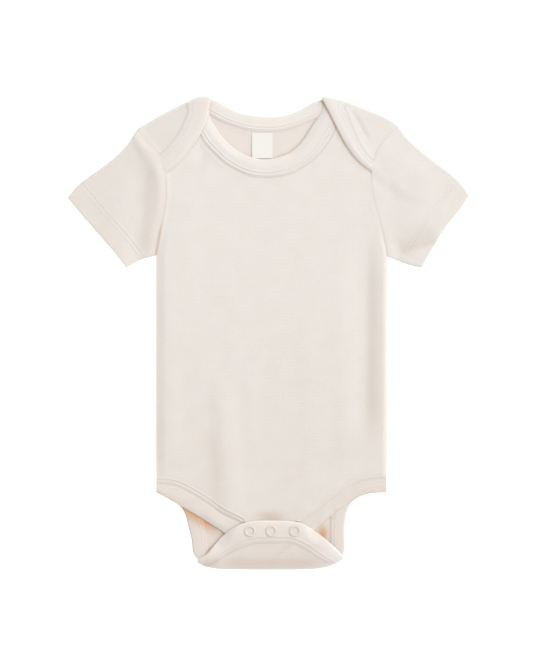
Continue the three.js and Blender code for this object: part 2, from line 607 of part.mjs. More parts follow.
// Binding of the back's legs, which goes on over the crotch fold and round the flap's end.
function backLegBand() {
  const foldAt = (from, to) => {
    const outline = along(crotchOutline, BAND_SHARES.length - 1, from, to);
    const inwards = inwardNormals(outline, HIP_CENTRE);
    return foldRows(outline, inwards, CROTCH_FOLD.bandRadius, BAND / 2, FLOOR_BAND_LEVEL);
  };
  const foldLeft = foldAt(CROTCH_BAND.left - 0.002, 0);
  const foldRight = foldAt(CROTCH_BAND.right + 0.002, 1);
  const ground = (p) => atLevel([p], 0)[0];
  const leg = (side, seamLine, fold, sign) => {
    const seam = shifted(seamLine, sign * SEAM);
    const edge = along([...side.backLegEdge.map(point), ground(fold[0].at(-1))], LEG_STEPS);
    return stations(seam, edge).map((row) => atLevel(row, FLOOR_BAND_LEVEL)).slice(0, -1);
  };
  const seam = shifted(flapSeam, SEAM);
  const edge = along([ground(foldLeft.at(-1).at(-1)), ...FLAP_EDGE.map(point),
    ground(foldRight.at(-1).at(-1))], flapSeam.length - 1);
  const flap = stations(seam, edge).map((row) => atLevel(row, flapBandLevel)).slice(1, -1);
  const rows = [
    ...leg(LEFT, backLegSeams.left, foldLeft, -1),
    ...foldLeft,
    ...flap,
    ...[...foldRight].reverse(),
    ...leg(RIGHT, backLegSeams.right, foldRight, 1).reverse(),
  ];
  return wall([{ rows, half: BAND_HALVES }]);
}

// Care label, sewn into the back neck seam inside the garment.
function label() {
  const rows = range(4).map((j) => range(3).map((i) => new THREE.Vector3(
    LABEL.left + ((LABEL.right - LABEL.left) * i) / 2,
    LABEL.low + ((LABEL.high - LABEL.low) * j) / 3,
    LABEL.middle,
  )));
  return wall([{ rows, half: LABEL.half }]);
}

function lathe(profile) {
  const points = profile.map(([r, z]) => new THREE.Vector2(r, z));
  return new THREE.LatheGeometry(points, SNAP.sides).rotateX(Math.PI / 2);
}

// Prong ring of a snap, on top of the flap.
function snapRing(x) {
  const low = FLAP_BAND_TOP_LEVEL + BAND / 2 + LAYER_GAP;
  const { ringOuter, ringInner, ringHeight } = SNAP;
  const bevel = 0.35;
  const geometry = lathe([
    [ringInner, 0],
    [ringOuter, 0],
    [ringOuter, ringHeight - bevel],
    [ringOuter - bevel, ringHeight],
    [ringInner + bevel, ringHeight],
    [ringInner, ringHeight - bevel],
    [ringInner, 0],
  ]);
  return geometry.translate(x, SNAP.y, low);
}

// Closed stud and socket of a snap, between the flap and the front.
function snapStud(x) {
  const low = FRONT_CROTCH_LEVEL + BAND / 2 + LAYER_GAP;
  const { discRadius, discHeight } = SNAP;
  const geometry = lathe([[0, 0], [discRadius, 0], [discRadius, discHeight], [0, discHeight]]);
  return geometry.translate(x, SNAP.y, low);
}

const CREAM = 0xebe4dc;
const RIB = 0xe8e0d7;
const TAPE = 0xd9d5cc;
const ENAMEL = 0xe6ddd2;

const garment = new THREE.Group();
function add(name, geometry, color, roughness = 0.95) {
  const material = new THREE.MeshStandardMaterial({ color, roughness, metalness: 0 });
  const mesh = new THREE.Mesh(geometry, material);
  mesh.name = name;
  garment.add(mesh);
}

add('back', backPanel(), CREAM);
add('front', frontPanel(), CREAM);
add('sleeve_left', sleeve(LEFT, left), CREAM);
add('sleeve_right', sleeve(RIGHT, right), CREAM);
add('neck_band_back', backNeckBand(), RIB);
add('neck_band_front', frontNeckBand(), RIB);
add('leg_band_back', backLegBand(), RIB);
add('leg_band_front', frontLegBand(), RIB);
add('label', label(), TAPE);
SNAP.x.forEach((x, k) => add(`snap_ring_${k + 1}`, snapRing(x), ENAMEL, 0.4));
SNAP.x.forEach((x, k) => add(`snap_stud_${k + 1}`, snapStud(x), ENAMEL, 0.4));

export default garment;
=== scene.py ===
# Baby's short-sleeved bodysuit, laid flat on its back and seen from straight above.
# Lengths are in millimetres up to the mesh, X across the chest, Y to the neck, Z up.

import bpy
import numpy as np
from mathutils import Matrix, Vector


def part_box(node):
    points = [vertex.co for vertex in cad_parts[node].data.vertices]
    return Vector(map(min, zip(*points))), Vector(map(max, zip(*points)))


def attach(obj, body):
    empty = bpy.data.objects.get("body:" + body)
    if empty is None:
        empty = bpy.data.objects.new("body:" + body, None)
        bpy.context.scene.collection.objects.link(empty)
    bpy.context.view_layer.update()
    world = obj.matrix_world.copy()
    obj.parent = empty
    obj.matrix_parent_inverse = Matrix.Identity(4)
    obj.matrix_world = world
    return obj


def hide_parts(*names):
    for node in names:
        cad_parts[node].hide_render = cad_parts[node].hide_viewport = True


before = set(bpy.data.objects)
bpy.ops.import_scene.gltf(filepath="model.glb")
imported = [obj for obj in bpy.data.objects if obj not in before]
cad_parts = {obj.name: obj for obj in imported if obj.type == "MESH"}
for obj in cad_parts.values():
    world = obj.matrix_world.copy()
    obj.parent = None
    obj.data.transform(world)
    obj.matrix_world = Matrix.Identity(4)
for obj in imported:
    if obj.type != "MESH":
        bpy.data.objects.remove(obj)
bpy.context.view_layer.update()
print("frame loaded:", len(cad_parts), "nodes")

# Cloth of the whole garment
cloth = dict(
    wall=1.0, band=1.8, seam=0.015,           # knit, folded binding, gap on each side of a seam
    shoulderCells=26, neckCells=112, armCells=80, legCells=64, frontSideCells=116,
    backSideCells=24, flapCells=30, foldCells=12,
    chestReach=0.35,                          # share of the chest that follows the armhole
    shoulderTip=120, shoulderNeck=74, tipRadius=1.3, neckRadius=2.1,
    crotchRadius=1.8, crotchBandRadius=1.7,
    flapLow=-213, flapDepth=31, flapRise=1.5,
    stitchPitch=2.7,                          # one stitch of the twin needle
    seamLift=0.38,                            # a panel thickens towards its bound edge
    sharpFrom=50,                             # degrees from which an edge isn't shaded smooth
)
floorLevel = cloth["wall"] / 2
floorBandLevel = cloth["band"] / 2

# Outline and seams from above, left and right as seen
left = dict(
    sign=1, lapSeamEnd=0.25, lapEdgeEnd=0.402,
    armRidge=0.35, armRidgeAt=0.4, armRidgeWidth=2.2,
    # The shade amounts here are painted shade: in seams, under the laps' edges, and evenly over a lap or sleeve.
    sleeveRidge=(0.95, 6.5, 5.2), armShade=0.04, underarmShade=0.5, lapShade=0.1, lapShadeReach=2.6,
    legRidge=0.32, legSeamShade=0.1, lapSeamShade=(0.1, 0.04), lapPaintedShade=0.05, sleevePaintedShade=0.08,
    shoulder=[(-119.5, 188.8), (-108.5, 195.3), (-97.5, 201.6), (-86.5, 207.3), (-75.5, 212.9),
              (-68, 216.4), (-60.5, 218.4), (-53, 218)],
    arm=[(-119.5, 188), (-111.3, 176), (-103, 168.2), (-98.2, 159), (-94.8, 148), (-93.8, 136),
         (-94, 123), (-96, 109), (-99.3, 95), (-102, 80), (-103.4, 72.6)],
    sleeveTop=[(-119.5, 188.8), (-125, 179.8), (-134.3, 168.6), (-146.3, 157.6), (-161.5, 146.8),
               (-175.7, 135.5), (-185, 124.4)],
    underarm=[(-103.4, 71.6), (-109, 70), (-119.6, 66.3), (-130.6, 60)],
    hem=[(-185, 124.4), (-171, 107.8), (-156.3, 91), (-142.5, 75), (-130.6, 60)],
    lapSeam=[(-74.5, 203.6), (-77.3, 196), (-81, 187.5), (-85.8, 179.6), (-92, 171.8)],
    lapEdge=[(-54.8, 207), (-56.3, 198), (-59.8, 188.5), (-65.5, 178), (-72, 169.3),
             (-79.5, 159.3), (-88, 151)],
    frontSide=[(-103.4, 72.6, 1.8), (-103.5, 20, 1.8), (-103.5, -60, 1.8), (-103.5, -110, 1.8),
               (-103.2, -138.7, 2.6)],
    frontLegSeam=[(-103.2, -138.7, 2.6), (-86, -140.6, 2.8), (-62.6, -152.5, 3),
                  (-44.2, -165, 2.9), (-26, -174.4, 2.4)],
    frontLegEdge=[(-103.2, -146.1), (-90.5, -153.4), (-80, -159.8), (-62.6, -170.2),
                  (-42.3, -183.2)],
    backLegSeam=[(-103.2, -133.2), (-90, -138), (-77, -145.3), (-66.2, -155.2), (-60.7, -167.2),
                 (-57.2, -181), (-55.2, -197)],
    backLegEdge=[(-103.2, -146.6), (-92, -152.8), (-81, -160), (-76.6, -167.2), (-73.6, -179.2),
                 (-70.8, -190.2), (-69, -203)],
)
right = dict(
    sign=-1, lapSeamEnd=0.3125, lapEdgeEnd=0.393,
    armRidge=0.06, armRidgeAt=2.2, armRidgeWidth=2.0,
    sleeveRidge=(0.06, 2.2, 1.6), armShade=0.06, underarmShade=0.03, lapShade=0.66, lapShadeReach=2.2,
    legRidge=0.16, legSeamShade=0.03, lapSeamShade=(0.05, 0.04), lapPaintedShade=0.0, sleevePaintedShade=0.0,
    shoulder=[(119.7, 190.7), (112, 196.4), (101.2, 201.8), (90.2, 206.4), (79, 210.9),
              (70, 214.8), (62.5, 216.9), (55, 218), (49, 217.6)],
    arm=[(119.7, 190.4), (109.5, 180.4), (101.2, 170), (97.2, 161), (95, 150.5), (94.8, 141),
         (96, 128), (99.6, 112.5), (104, 96.5), (107.6, 81.2), (109.4, 71.5)],
    sleeveTop=[(119.7, 190.7), (127.9, 179.7), (139.8, 168.7), (153.6, 157.6), (168.4, 146.5),
               (179.4, 135.4), (185, 126.8)],
    underarm=[(109.4, 70.5), (117.8, 67), (128.8, 62.8), (140.8, 60)],
    hem=[(185, 126.8), (175.7, 112.5), (164, 98), (152.7, 80.3), (140.8, 60)],
    lapSeam=[(70.3, 207.5), (73.6, 198), (78.2, 187), (83.2, 176), (90, 164.8)],
    lapEdge=[(52, 210), (57, 200), (63.5, 187), (70.8, 173.4), (79, 161.6), (86.4, 154.3)],
    frontSide=[(109.4, 71.5, 1.8), (109, 20, 1.8), (109, -60, 1.8), (109, -110, 1.8),
               (108.8, -134.2, 2.6)],
    frontLegSeam=[(108.8, -134.2, 2.6), (93.8, -135.2, 2.8), (80, -138.7, 2.9), (57, -153.2, 3),
                  (42, -165, 2.8), (31, -173.4, 2.4)],
    frontLegEdge=[(108.8, -146.2), (89.2, -148.6), (78.2, -153), (61.6, -165.2), (42.3, -182.2)],
    backLegSeam=[(108.8, -133), (89.2, -135.2), (75.4, -140.5), (64.6, -149.7), (59.2, -160.8),
                 (57.2, -173), (57, -192)],
    backLegEdge=[(108.8, -146.6), (89.2, -149), (79, -154.2), (73.6, -161.6), (71, -172),
                 (70, -184), (70.3, -198)],
)
middle = dict(
    shoulderToBand=0.66, shoulderClear=0.0006, crotchClear=0.0003,
    backNeckSeam=[(-65, 207), (-55.2, 201.7), (-39.6, 193.6), (-16.6, 186.7), (-3, 185.7),
                  (11, 186.2), (29.4, 191.6), (49.7, 200.8), (60, 206)],
    backNeckEdge=[(-45.1, 212.6), (-36.8, 207.6), (-25.8, 202.8), (-14.7, 200.6), (-3.7, 199.5),
                  (7.4, 199.5), (18.4, 201.4), (29.4, 205.5), (40.5, 212.2)],
    frontNeckSeam=[(-70.6, 197, 2.7), (-66.8, 189, 2.9), (-58.5, 174, 3.1), (-48.8, 163.8, 3.2),
                   (-39.6, 155.6, 3.2), (-18.4, 144.8, 3.3), (-4, 142.8, 3.3), (11, 144.1, 3.3),
                   (24.8, 148, 3.2), (43.2, 161, 3.2), (55.2, 175.6, 3.1), (64, 192, 2.9),
                   (67.6, 201, 2.7)],
    frontNeckEdge=[(-54.9, 205.4, 3), (-54, 199, 3), (-48.8, 188.8, 3), (-39.6, 177, 3.1),
                   (-30.4, 169, 3.3), (-18.4, 162.4, 3.4), (-5.5, 159.6, 3.4), (6.4, 160.9, 3.4),
                   (16.4, 164.3, 3.3), (25.6, 170.6, 3.2), (32.6, 178.6, 3.1), (39.2, 188.9, 3),
                   (46.4, 200, 3), (49.4, 206, 3)],
    crotchOutline=[(-66.2, -210.8), (-60.6, -214.2), (-50.6, -217), (-26, -218.1), (2, -218.3),
                   (31, -218), (50, -216.6), (61, -213.2), (70.2, -207.6)],
    crotchSeams=(0.1, 0.9),                   # shares of that outline where the seams cross
    flapSeam=[(-42.3, -206.8), (-26, -198.4), (-14.7, -194.3), (2.8, -193.6), (21, -194.2),
              (34, -200), (47, -208.2)],
    flapEdge=[(-57, -203.8), (-48.8, -194.2), (-39.6, -184.9), (-27, -176.6), (-14.7, -173.3),
              (2.8, -172.8), (20.2, -173.3), (31.5, -175.8), (42.3, -182.4), (56, -193)],
    frontCrotchEdge=[(-42.3, -183.2), (-30, -191.2), (-18, -194.6), (3, -195), (22, -194.6),
                     (32, -190), (42.3, -182.2)],
)


# Arrays and curves

def smooth(value):
    t = np.clip(value, 0, 1)
    return t * t * (3 - 2 * t)


def bell(value, centre, width):
    return np.exp(-(((value - centre) / width) ** 2))


def rowsToPoints(rows, level=0.0):
    return np.array([(*row, level) if len(row) == 2 else tuple(row) for row in rows], float)


def atLevel(points, level):
    lifted = np.array(points, float)
    lifted[..., 2] = level(lifted) if callable(level) else level
    return lifted


def shares(cells, start=0.0, stop=1.0):
    return np.linspace(start, stop, cells + 1)


# Smooth line through the points: a centripetal cubic for each span, with the end spans
# mirrored, read off at the given shares of its length.
def curve(rows, at):
    p = rowsToPoints(rows)
    p = np.vstack([2 * p[0] - p[1], p, 2 * p[-1] - p[-2]])
    step = np.sqrt(np.linalg.norm(np.diff(p, axis=0), axis=1))[:, None, None]
    a, b, c, d = (p[k:len(p) - 3 + k, None] for k in range(4))
    s0, s1, s2 = (step[k:len(step) - 2 + k] for k in range(3))
    m1 = ((b - a) / s0 - (c - a) / (s0 + s1) + (c - b) / s1) * s1
    m2 = ((c - b) / s1 - (d - b) / (s1 + s2) + (d - c) / s2) * s1
    t = np.linspace(0, 1, 60, endpoint=False)[None, :, None]
    q = b + m1 * t + (3 * (c - b) - 2 * m1 - m2) * t ** 2 + (2 * (b - c) + m1 + m2) * t ** 3
    q = np.vstack([q.reshape(-1, 3), p[-2]])
    run = np.append(0, np.cumsum(np.linalg.norm(np.diff(q, axis=0), axis=1)))
    return np.stack([np.interp(np.asarray(at) * run[-1], run, q[:, k]) for k in range(3)], axis=1)


# Unit direction square to a line, to its left as seen from above: its step, a quarter turn on.
def leftOf(line):
    step = np.vstack([line[1:], line[-1:]]) - np.vstack([line[:1], line[:-1]])
    side = np.stack([-step[:, 1], step[:, 0], np.zeros(len(line))], axis=1)
    return side / np.linalg.norm(side, axis=1, keepdims=True)


def shifted(line, distance):
    return line + leftOf(line) * distance


def inwards(line, inside):
    side = leftOf(line)
    turn = np.sign(((np.array(inside) - line) * side).sum(axis=1))
    return side * turn[:, None]


# The same line with its first point moved to a corner: the move fades along the line.
def fromCorner(line, corner, reach=0.12):
    fade = (1 - smooth(np.linspace(0, 1, len(line)) / reach))[:, None]
    return line + (np.asarray(corner) - line[0]) * fade


# Space between four lines: the straight blend of low and high, plus what the side lines
# depart from straight, which fades out over the given share of the width.
def patch(low, high, sideLeft, sideRight, reach=1.0):
    v = np.linspace(0, 1, len(sideLeft))[:, None, None]
    u = ((high[:, 0] - high[0, 0]) / (high[-1, 0] - high[0, 0]))[None, :, None]
    offLeft = sideLeft[:, None] - (low[0] + (high[0] - low[0]) * v)
    offRight = sideRight[:, None] - (low[-1] + (high[-1] - low[-1]) * v)
    return (low + (high - low) * v + offLeft * np.clip(1 - u / reach, 0, 1)
            + offRight * np.clip(1 - (1 - u) / reach, 0, 1))


# Rows round a fold: half a circle from the low level up, whose outer edge is the outline.
def foldRows(outline, inward, radius, half, lowLevel):
    turn = np.radians(np.linspace(-90, 90, cloth["foldCells"] + 1))[:, None]
    radius = np.broadcast_to(radius, (len(outline),))[None]
    rows = outline[None] + inward[None] * (half + radius * (1 - np.cos(turn)))[..., None]
    rows[..., 2] = lowLevel + radius * (1 + np.sin(turn))
    return rows


# How far each point is from a line, to its left or right, and the length along it to there.
def nearLine(points, line):
    flat = np.asarray(points)[..., :2].reshape(-1, 2)
    start = line[:-1, :2]
    step = line[1:, :2] - start
    run = np.append(0, np.cumsum(np.linalg.norm(step, axis=1)))
    away = flat[:, None] - start[None]
    t = np.clip((away * step).sum(-1) / (step ** 2).sum(-1), 0, 1)
    gap = np.linalg.norm(away - t[..., None] * step, axis=-1)
    best = gap.argmin(axis=1)
    pick = np.arange(len(flat))
    cross = step[best, 0] * away[pick, best, 1] - step[best, 1] * away[pick, best, 0]
    shape = np.asarray(points).shape[:-1]
    length = run[best] + t[pick, best] * (run[best + 1] - run[best])
    return (gap[pick, best] * np.sign(cross)).reshape(shape), length.reshape(shape)


# Height of soft folds: a bell across each fold's line, wider on one side than on the other,
# fading at both its ends. A row is x, y, x, y, width to its left, width to its right, height.
def foldRise(folds, points):
    x, y = points[..., 0], points[..., 1]
    rise = np.zeros(x.shape)
    for x0, y0, x1, y1, widthLeft, widthRight, height in folds:
        dx, dy = x1 - x0, y1 - y0
        length = np.hypot(dx, dy)
        share = ((x - x0) * dx + (y - y0) * dy) / length ** 2
        off = ((x - x0) * dy - (y - y0) * dx) / length
        width = np.where(off > 0, widthRight, widthLeft)
        rise += height * smooth(share * 3 + 0.5) * smooth((1 - share) * 3 + 0.5) * bell(off, 0, width)
    return rise


# Height of soft dents: a bell over an upright oval. A row is x, y, reach in x, reach in y, height.
def dentRise(dents, points):
    x, y = points[..., 0], points[..., 1]
    return sum(height * np.exp(-((x - x0) / reachX) ** 2 - ((y - y0) / reachY) ** 2)
               for x0, y0, reachX, reachY, height in dents) + 0 * x


# Gentle unevenness of washed cloth: a few crossed waves, longer along the wales than across.
def cockle(points, height, size=26.0):
    x, y = points[..., 0] / size, points[..., 1] / size
    wave = (np.sin(2.1 * x + 0.5 * y + 0.4) * np.sin(0.9 * y - 0.6 * x + 1.3)
            + 0.7 * np.sin(3.7 * x - 0.9 * y + 2.1) * np.sin(1.3 * y + 0.5 * x)
            + 0.5 * np.sin(5.9 * x + 1.1 * y + 4.0) * np.cos(2.3 * y - 1.1 * x + 0.7))
    return height * wave


# How much a place lies under, or just outside, the edge of a layer above it.
def underEdge(points, line, reach):
    gap, _ = nearLine(points, line)
    return 1 - smooth(np.abs(gap) / reach)


# Normal of a grid of points: the cross product of its steps along and across, turned up.
def gridNormals(points):
    normal = np.cross(np.gradient(points, axis=1), np.gradient(points, axis=0))
    normal /= np.maximum(np.linalg.norm(normal, axis=-1, keepdims=True), 1e-9)
    return normal * np.where(normal[..., 2:] < 0, -1, 1)


# Meshes

def newMesh(name, vertices, triangles, uv=None, paintedShadeValues=None):
    mesh = bpy.data.meshes.new(name)
    mesh.vertices.add(len(vertices))
    mesh.vertices.foreach_set("co", (np.asarray(vertices) * 0.001).astype(np.float32).ravel())
    mesh.loops.add(triangles.size)
    mesh.loops.foreach_set("vertex_index", triangles.astype(np.int32).ravel())
    mesh.polygons.add(len(triangles))
    mesh.polygons.foreach_set("loop_start", np.arange(0, triangles.size, 3, dtype=np.int32))
    mesh.polygons.foreach_set("use_smooth", np.ones(len(triangles), bool))
    if uv is not None:
        layer = mesh.uv_layers.new(name="cloth")
        layer.data.foreach_set("uv", (uv[triangles.ravel()] * 0.001).astype(np.float32).ravel())
    # Painted shade: a value on each point that the cloth material mixes towards darker, warmer colours.
    if paintedShadeValues is not None:
        paintedShade = mesh.attributes.new("paintedShade", "FLOAT", "POINT")
        paintedShade.data.foreach_set("value", paintedShadeValues.astype(np.float32))
    mesh.update(calc_edges=True)
    mesh.validate()
    mesh.set_sharp_from_angle(angle=np.radians(cloth["sharpFrom"]))
    piece = bpy.data.objects.new(name, mesh)
    bpy.context.scene.collection.objects.link(piece)
    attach(piece, "root")
    return piece


# One grid of a shell: its middle surface, half its thickness, what stands out on the side that
# faces up and on the side that faces down, how much shade is painted on it, and its flat place.
def grid(points, half, up=0.0, down=0.0, paintedShade=0.0, uv=None):
    shape = points.shape[:2]
    return dict(points=points, half=np.broadcast_to(half, shape), up=np.broadcast_to(up, shape),
                down=np.broadcast_to(down, shape), paintedShade=np.broadcast_to(paintedShade, shape),
                uv=points[..., :2] if uv is None else uv)


# Closed shell of cloth: the grids joined where their points meet, each point moved along its
# normal by the half thickness and what stands out there, and a rim round each open edge.
def clothShell(name, grids):
    whole = {key: np.concatenate([g[key].reshape(-1, *g[key].shape[2:]) for g in grids])
             for key in grids[0]}
    keys = np.round(whole["points"] * 500).astype(np.int64)
    _, first, index = np.unique(keys, axis=0, return_index=True, return_inverse=True)
    index = index.ravel()
    whole = {key: value[first] for key, value in whole.items()}
    faces = []
    start = 0
    for g in grids:
        rows, columns = g["points"].shape[:2]
        ids = index[start:start + rows * columns].reshape(rows, columns)
        start += rows * columns
        a, b, c, d = ids[:-1, :-1], ids[:-1, 1:], ids[1:, 1:], ids[1:, :-1]
        faces += [np.stack([a, b, c], -1).reshape(-1, 3), np.stack([a, c, d], -1).reshape(-1, 3)]
    faces = np.concatenate(faces)
    same = ((faces[:, 0] == faces[:, 1]) | (faces[:, 1] == faces[:, 2]) | (faces[:, 2] == faces[:, 0]))
    faces = faces[~same]

    points = whole["points"]
    a, b, c = (points[faces[:, k]] for k in range(3))
    cross = np.cross(b - a, c - a)
    area = np.linalg.norm(cross, axis=1).sum() / 2
    normals = np.zeros_like(points)
    for k in range(3):
        np.add.at(normals, faces[:, k], cross)
    normals /= np.maximum(np.linalg.norm(normals, axis=1, keepdims=True), 1e-12)

    facing = smooth(normals[:, 2] * 1.5 + 0.5)
    plus = whole["half"] + whole["up"] * facing + whole["down"] * (1 - facing)
    minus = whole["half"] + whole["down"] * facing + whole["up"] * (1 - facing)
    vertices = np.concatenate([points + normals * plus[:, None], points - normals * minus[:, None]])

    count = len(points)
    edges = np.concatenate([faces[:, [0, 1]], faces[:, [1, 2]], faces[:, [2, 0]]])
    codes = edges[:, 0] * count + edges[:, 1]
    openEdges = edges[~np.isin(codes, edges[:, 1] * count + edges[:, 0])]
    f, t = openEdges.T
    rim = np.concatenate([np.stack([t, f, f + count], 1), np.stack([t, f + count, t + count], 1)])
    triangles = np.concatenate([faces, faces[:, ::-1] + count, rim])
    uv = np.concatenate([whole["uv"]] * 2)
    # The same painted shade on both faces of the cloth.
    paintedShade = np.clip(np.concatenate([whole["paintedShade"]] * 2), 0, 1)
    piece = newMesh(name, vertices, triangles, uv, paintedShade)
    size = np.ptp(points, axis=0)
    print(f"{name}: {len(triangles)} triangles, cloth {area / 1e6:.4f} m2, "
          f"{size[0]:.0f} x {size[1]:.0f} mm, lowest {vertices[:, 2].min():.2f}")
    return piece


# Materials

def hexColour(code):
    channels = [int(code[k:k + 2], 16) / 255 for k in (1, 3, 5)]
    return [c / 12.92 if c <= 0.04045 else ((c + 0.055) / 1.055) ** 2.4 for c in channels] + [1.0]


# Adds a node: properties by name, then its inputs, each a value or another node's output.
def addNode(tree, kind, inputs=None, **properties):
    node = tree.nodes.new(kind)
    for key, value in properties.items():
        setattr(node, key, value)
    for key, value in (inputs or {}).items():
        if isinstance(value, bpy.types.NodeSocket):
            tree.links.new(value, node.inputs[key])
        else:
            node.inputs[key].default_value = value
    return node


def newMaterial(name):
    material = bpy.data.materials.new(name)
    material.use_nodes = True
    material.node_tree.nodes.clear()
    return material, material.node_tree


interlockLook = dict(
    # shadeStops: colours of the painted shade, from faint folds to deep crevices.
    light="#e6e0da", shade="#e4ddd6", shadeStops=((0.0, "#b09683"), (0.4, "#bd966f"), (1.0, "#dda05a")),    # fold, seam, deep crevice
    mottle=18.0,                              # cloudy tone of washed cotton, mm
    wale=1.5, course=1.3,                     # real knit is near 0.7 mm; drawn twice as coarse
    height=0.00009, roughness=0.92, sheen=0.25,
)


# Cotton interlock, knitted on fine needles: soft, matt, with a short nap that lights its edges; painted shade darkens
# its colour in folds, seams and crevices.
def knitMaterial(name, look, ribbed=False):
    material, tree = newMaterial(name)
    spot = addNode(tree, "ShaderNodeTexCoord").outputs["Object"]
    cloud = addNode(tree, "ShaderNodeTexNoise", {
        "Vector": spot, "Scale": 1000 / look["mottle"], "Detail": 4.0, "Roughness": 0.55})
    nap = addNode(tree, "ShaderNodeTexNoise", {
        "Vector": spot, "Scale": 900.0, "Detail": 3.0, "Roughness": 0.6})
    tone = addNode(tree, "ShaderNodeMapRange", {
        "Value": cloud.outputs["Fac"], "From Min": 0.3, "From Max": 0.7})
    body = addNode(tree, "ShaderNodeMix", {
        "Factor": tone.outputs["Result"], "A": hexColour(look["light"]),
        "B": hexColour(look["shade"])}, data_type="RGBA")
    # Painted shade: each point's value mixes the colour towards the darker, warmer ramp colours of folds, seams and
    # crevices.
    shadeAttribute = addNode(tree, "ShaderNodeAttribute", attribute_name="paintedShade")
    shadeRamp = addNode(tree, "ShaderNodeValToRGB", {"Fac": shadeAttribute.outputs["Fac"]})
    ramp = shadeRamp.color_ramp.elements
    ramp.new(look["shadeStops"][1][0])
    for element, (place, code) in zip(ramp, look["shadeStops"]):
        element.position = place
        element.color = hexColour(code)
    colour = addNode(tree, "ShaderNodeMix", {
        "Factor": shadeAttribute.outputs["Fac"], "A": body.outputs["Result"],
        "B": shadeRamp.outputs["Color"]}, data_type="RGBA")

    flat = addNode(tree, "ShaderNodeUVMap", uv_map="cloth")
    parts = addNode(tree, "ShaderNodeSeparateXYZ", {"Vector": flat.outputs["UV"]})
    turns = 2 * np.pi * 1000
    across = addNode(tree, "ShaderNodeMath", {0: parts.outputs["X"], 1: turns / look["wale"]},
                     operation="MULTIPLY")
    waleWave = addNode(tree, "ShaderNodeMath", {0: across.outputs[0]}, operation="SINE")
    waleRib = addNode(tree, "ShaderNodeMath", {0: waleWave.outputs[0]}, operation="ABSOLUTE")
    along = addNode(tree, "ShaderNodeMath", {0: parts.outputs["Y"], 1: turns / look["course"]},
                    operation="MULTIPLY")
    leaning = addNode(tree, "ShaderNodeMath", {0: waleRib.outputs[0], 1: 2.4, 2: along.outputs[0]},
                      operation="MULTIPLY_ADD")
    loops = addNode(tree, "ShaderNodeMath", {0: leaning.outputs[0]}, operation="SINE")
    loopShare = 0.15 if ribbed else 0.45
    knit = addNode(tree, "ShaderNodeMath", {0: loops.outputs[0], 1: loopShare, 2: waleRib.outputs[0]},
                   operation="MULTIPLY_ADD")
    fuzzy = addNode(tree, "ShaderNodeMath", {0: nap.outputs["Fac"], 1: 1.1, 2: knit.outputs[0]},
                    operation="MULTIPLY_ADD")
    bump = addNode(tree, "ShaderNodeBump", {
        "Strength": 0.55, "Distance": look["height"], "Height": fuzzy.outputs[0]})
    shader = addNode(tree, "ShaderNodeBsdfPrincipled", {
        "Base Color": colour.outputs["Result"], "Roughness": look["roughness"],
        "Sheen Weight": look["sheen"], "Sheen Roughness": 0.5, "Specular IOR Level": 0.25,
        "Subsurface Weight": 0.25, "Subsurface Radius": (1.0, 0.68, 0.45), "Subsurface Scale": 0.0016,
        "Normal": bump.outputs["Normal"]})
    addNode(tree, "ShaderNodeOutputMaterial", {"Surface": shader.outputs["BSDF"]})
    return material


interlock = knitMaterial("cottonInterlockKnit", interlockLook)
ribLook = dict(interlockLook, light="#e9e4df", shade="#e6e0da", wale=1.7, course=1.5)
rib = knitMaterial("cottonRibBindingFolded", ribLook, ribbed=True)


# Seams and folds

chestCentre = (2, 120, 0)
hipCentre = (2, -150, 0)


def shoulderRadius(points):
    share = (cloth["shoulderTip"] - abs(points[..., 0])) / (cloth["shoulderTip"] - cloth["shoulderNeck"])
    return cloth["tipRadius"] + (cloth["neckRadius"] - cloth["tipRadius"]) * np.clip(share, 0, 1)


def lapLevel(points):
    return floorLevel + 2 * shoulderRadius(points)


def lapBandLevel(points):
    return floorBandLevel + 2 * shoulderRadius(points)


def flapShare(points):
    return smooth((points[..., 1] - cloth["flapLow"]) / cloth["flapDepth"])


def flapLevel(points):
    return floorLevel + 2 * cloth["crotchRadius"] + (cloth["flapRise"] - 0.2) * flapShare(points)


def flapBandLevel(points):
    return floorBandLevel + 2 * cloth["crotchBandRadius"] + cloth["flapRise"] * flapShare(points)


# Places across a binding, from its seam, 0, to its bound edge, 1: closest at the edges and at
# the twin stitching.
acrossBand = np.array([0, 0.012, 0.03, 0.05, 0.075, 0.1, 0.125, 0.15, 0.175, 0.2, 0.225, 0.25, 0.275,
                       0.3, 0.33, 0.36, 0.4, 0.45, 0.52, 0.6, 0.68, 0.76, 0.83, 0.88, 0.92, 0.95,
                       0.97, 0.985, 0.995, 1])


for side in (left, right):
    toBand = middle["shoulderToBand"]
    clear = middle["shoulderClear"]
    side["panelFold"] = curve(side["shoulder"], shares(cloth["shoulderCells"], clear, toBand - clear))
    side["panelInwards"] = inwards(side["panelFold"], chestCentre)
    side["bandFold"] = curve(side["shoulder"], toBand + clear + (1 - toBand - clear) * acrossBand)
    side["bandInwards"] = inwards(side["bandFold"], chestCentre)
    side["foldGrid"] = foldRows(side["panelFold"], side["panelInwards"],
                                shoulderRadius(side["panelFold"]), cloth["wall"] / 2, floorLevel)
    side["neckFoldGrid"] = foldRows(side["bandFold"], side["bandInwards"], cloth["neckRadius"],
                                    cloth["band"] / 2, floorBandLevel)
    side["armLine"] = curve(side["arm"], shares(60))
    lapEnd = curve(side["arm"], [side["lapSeamEnd"]])[0]
    start = side["foldGrid"][-1, -1] * (1, 1, 0)
    side["lapSeamLine"] = rowsToPoints([start, *side["lapSeam"], lapEnd])
    edgeStart = side["neckFoldGrid"][-1, -1] * (1, 1, 0)
    edgeEnd = curve(side["arm"], [side["lapEdgeEnd"]])[0]
    side["lapEdgeLine"] = curve([edgeStart, *side["lapEdge"], edgeEnd], shares(50))
    side["frontLegEdgeLine"] = curve(side["frontLegEdge"], shares(50))


def bodyArm(side, at):
    return shifted(curve(side["arm"], at), side["sign"] * cloth["seam"])


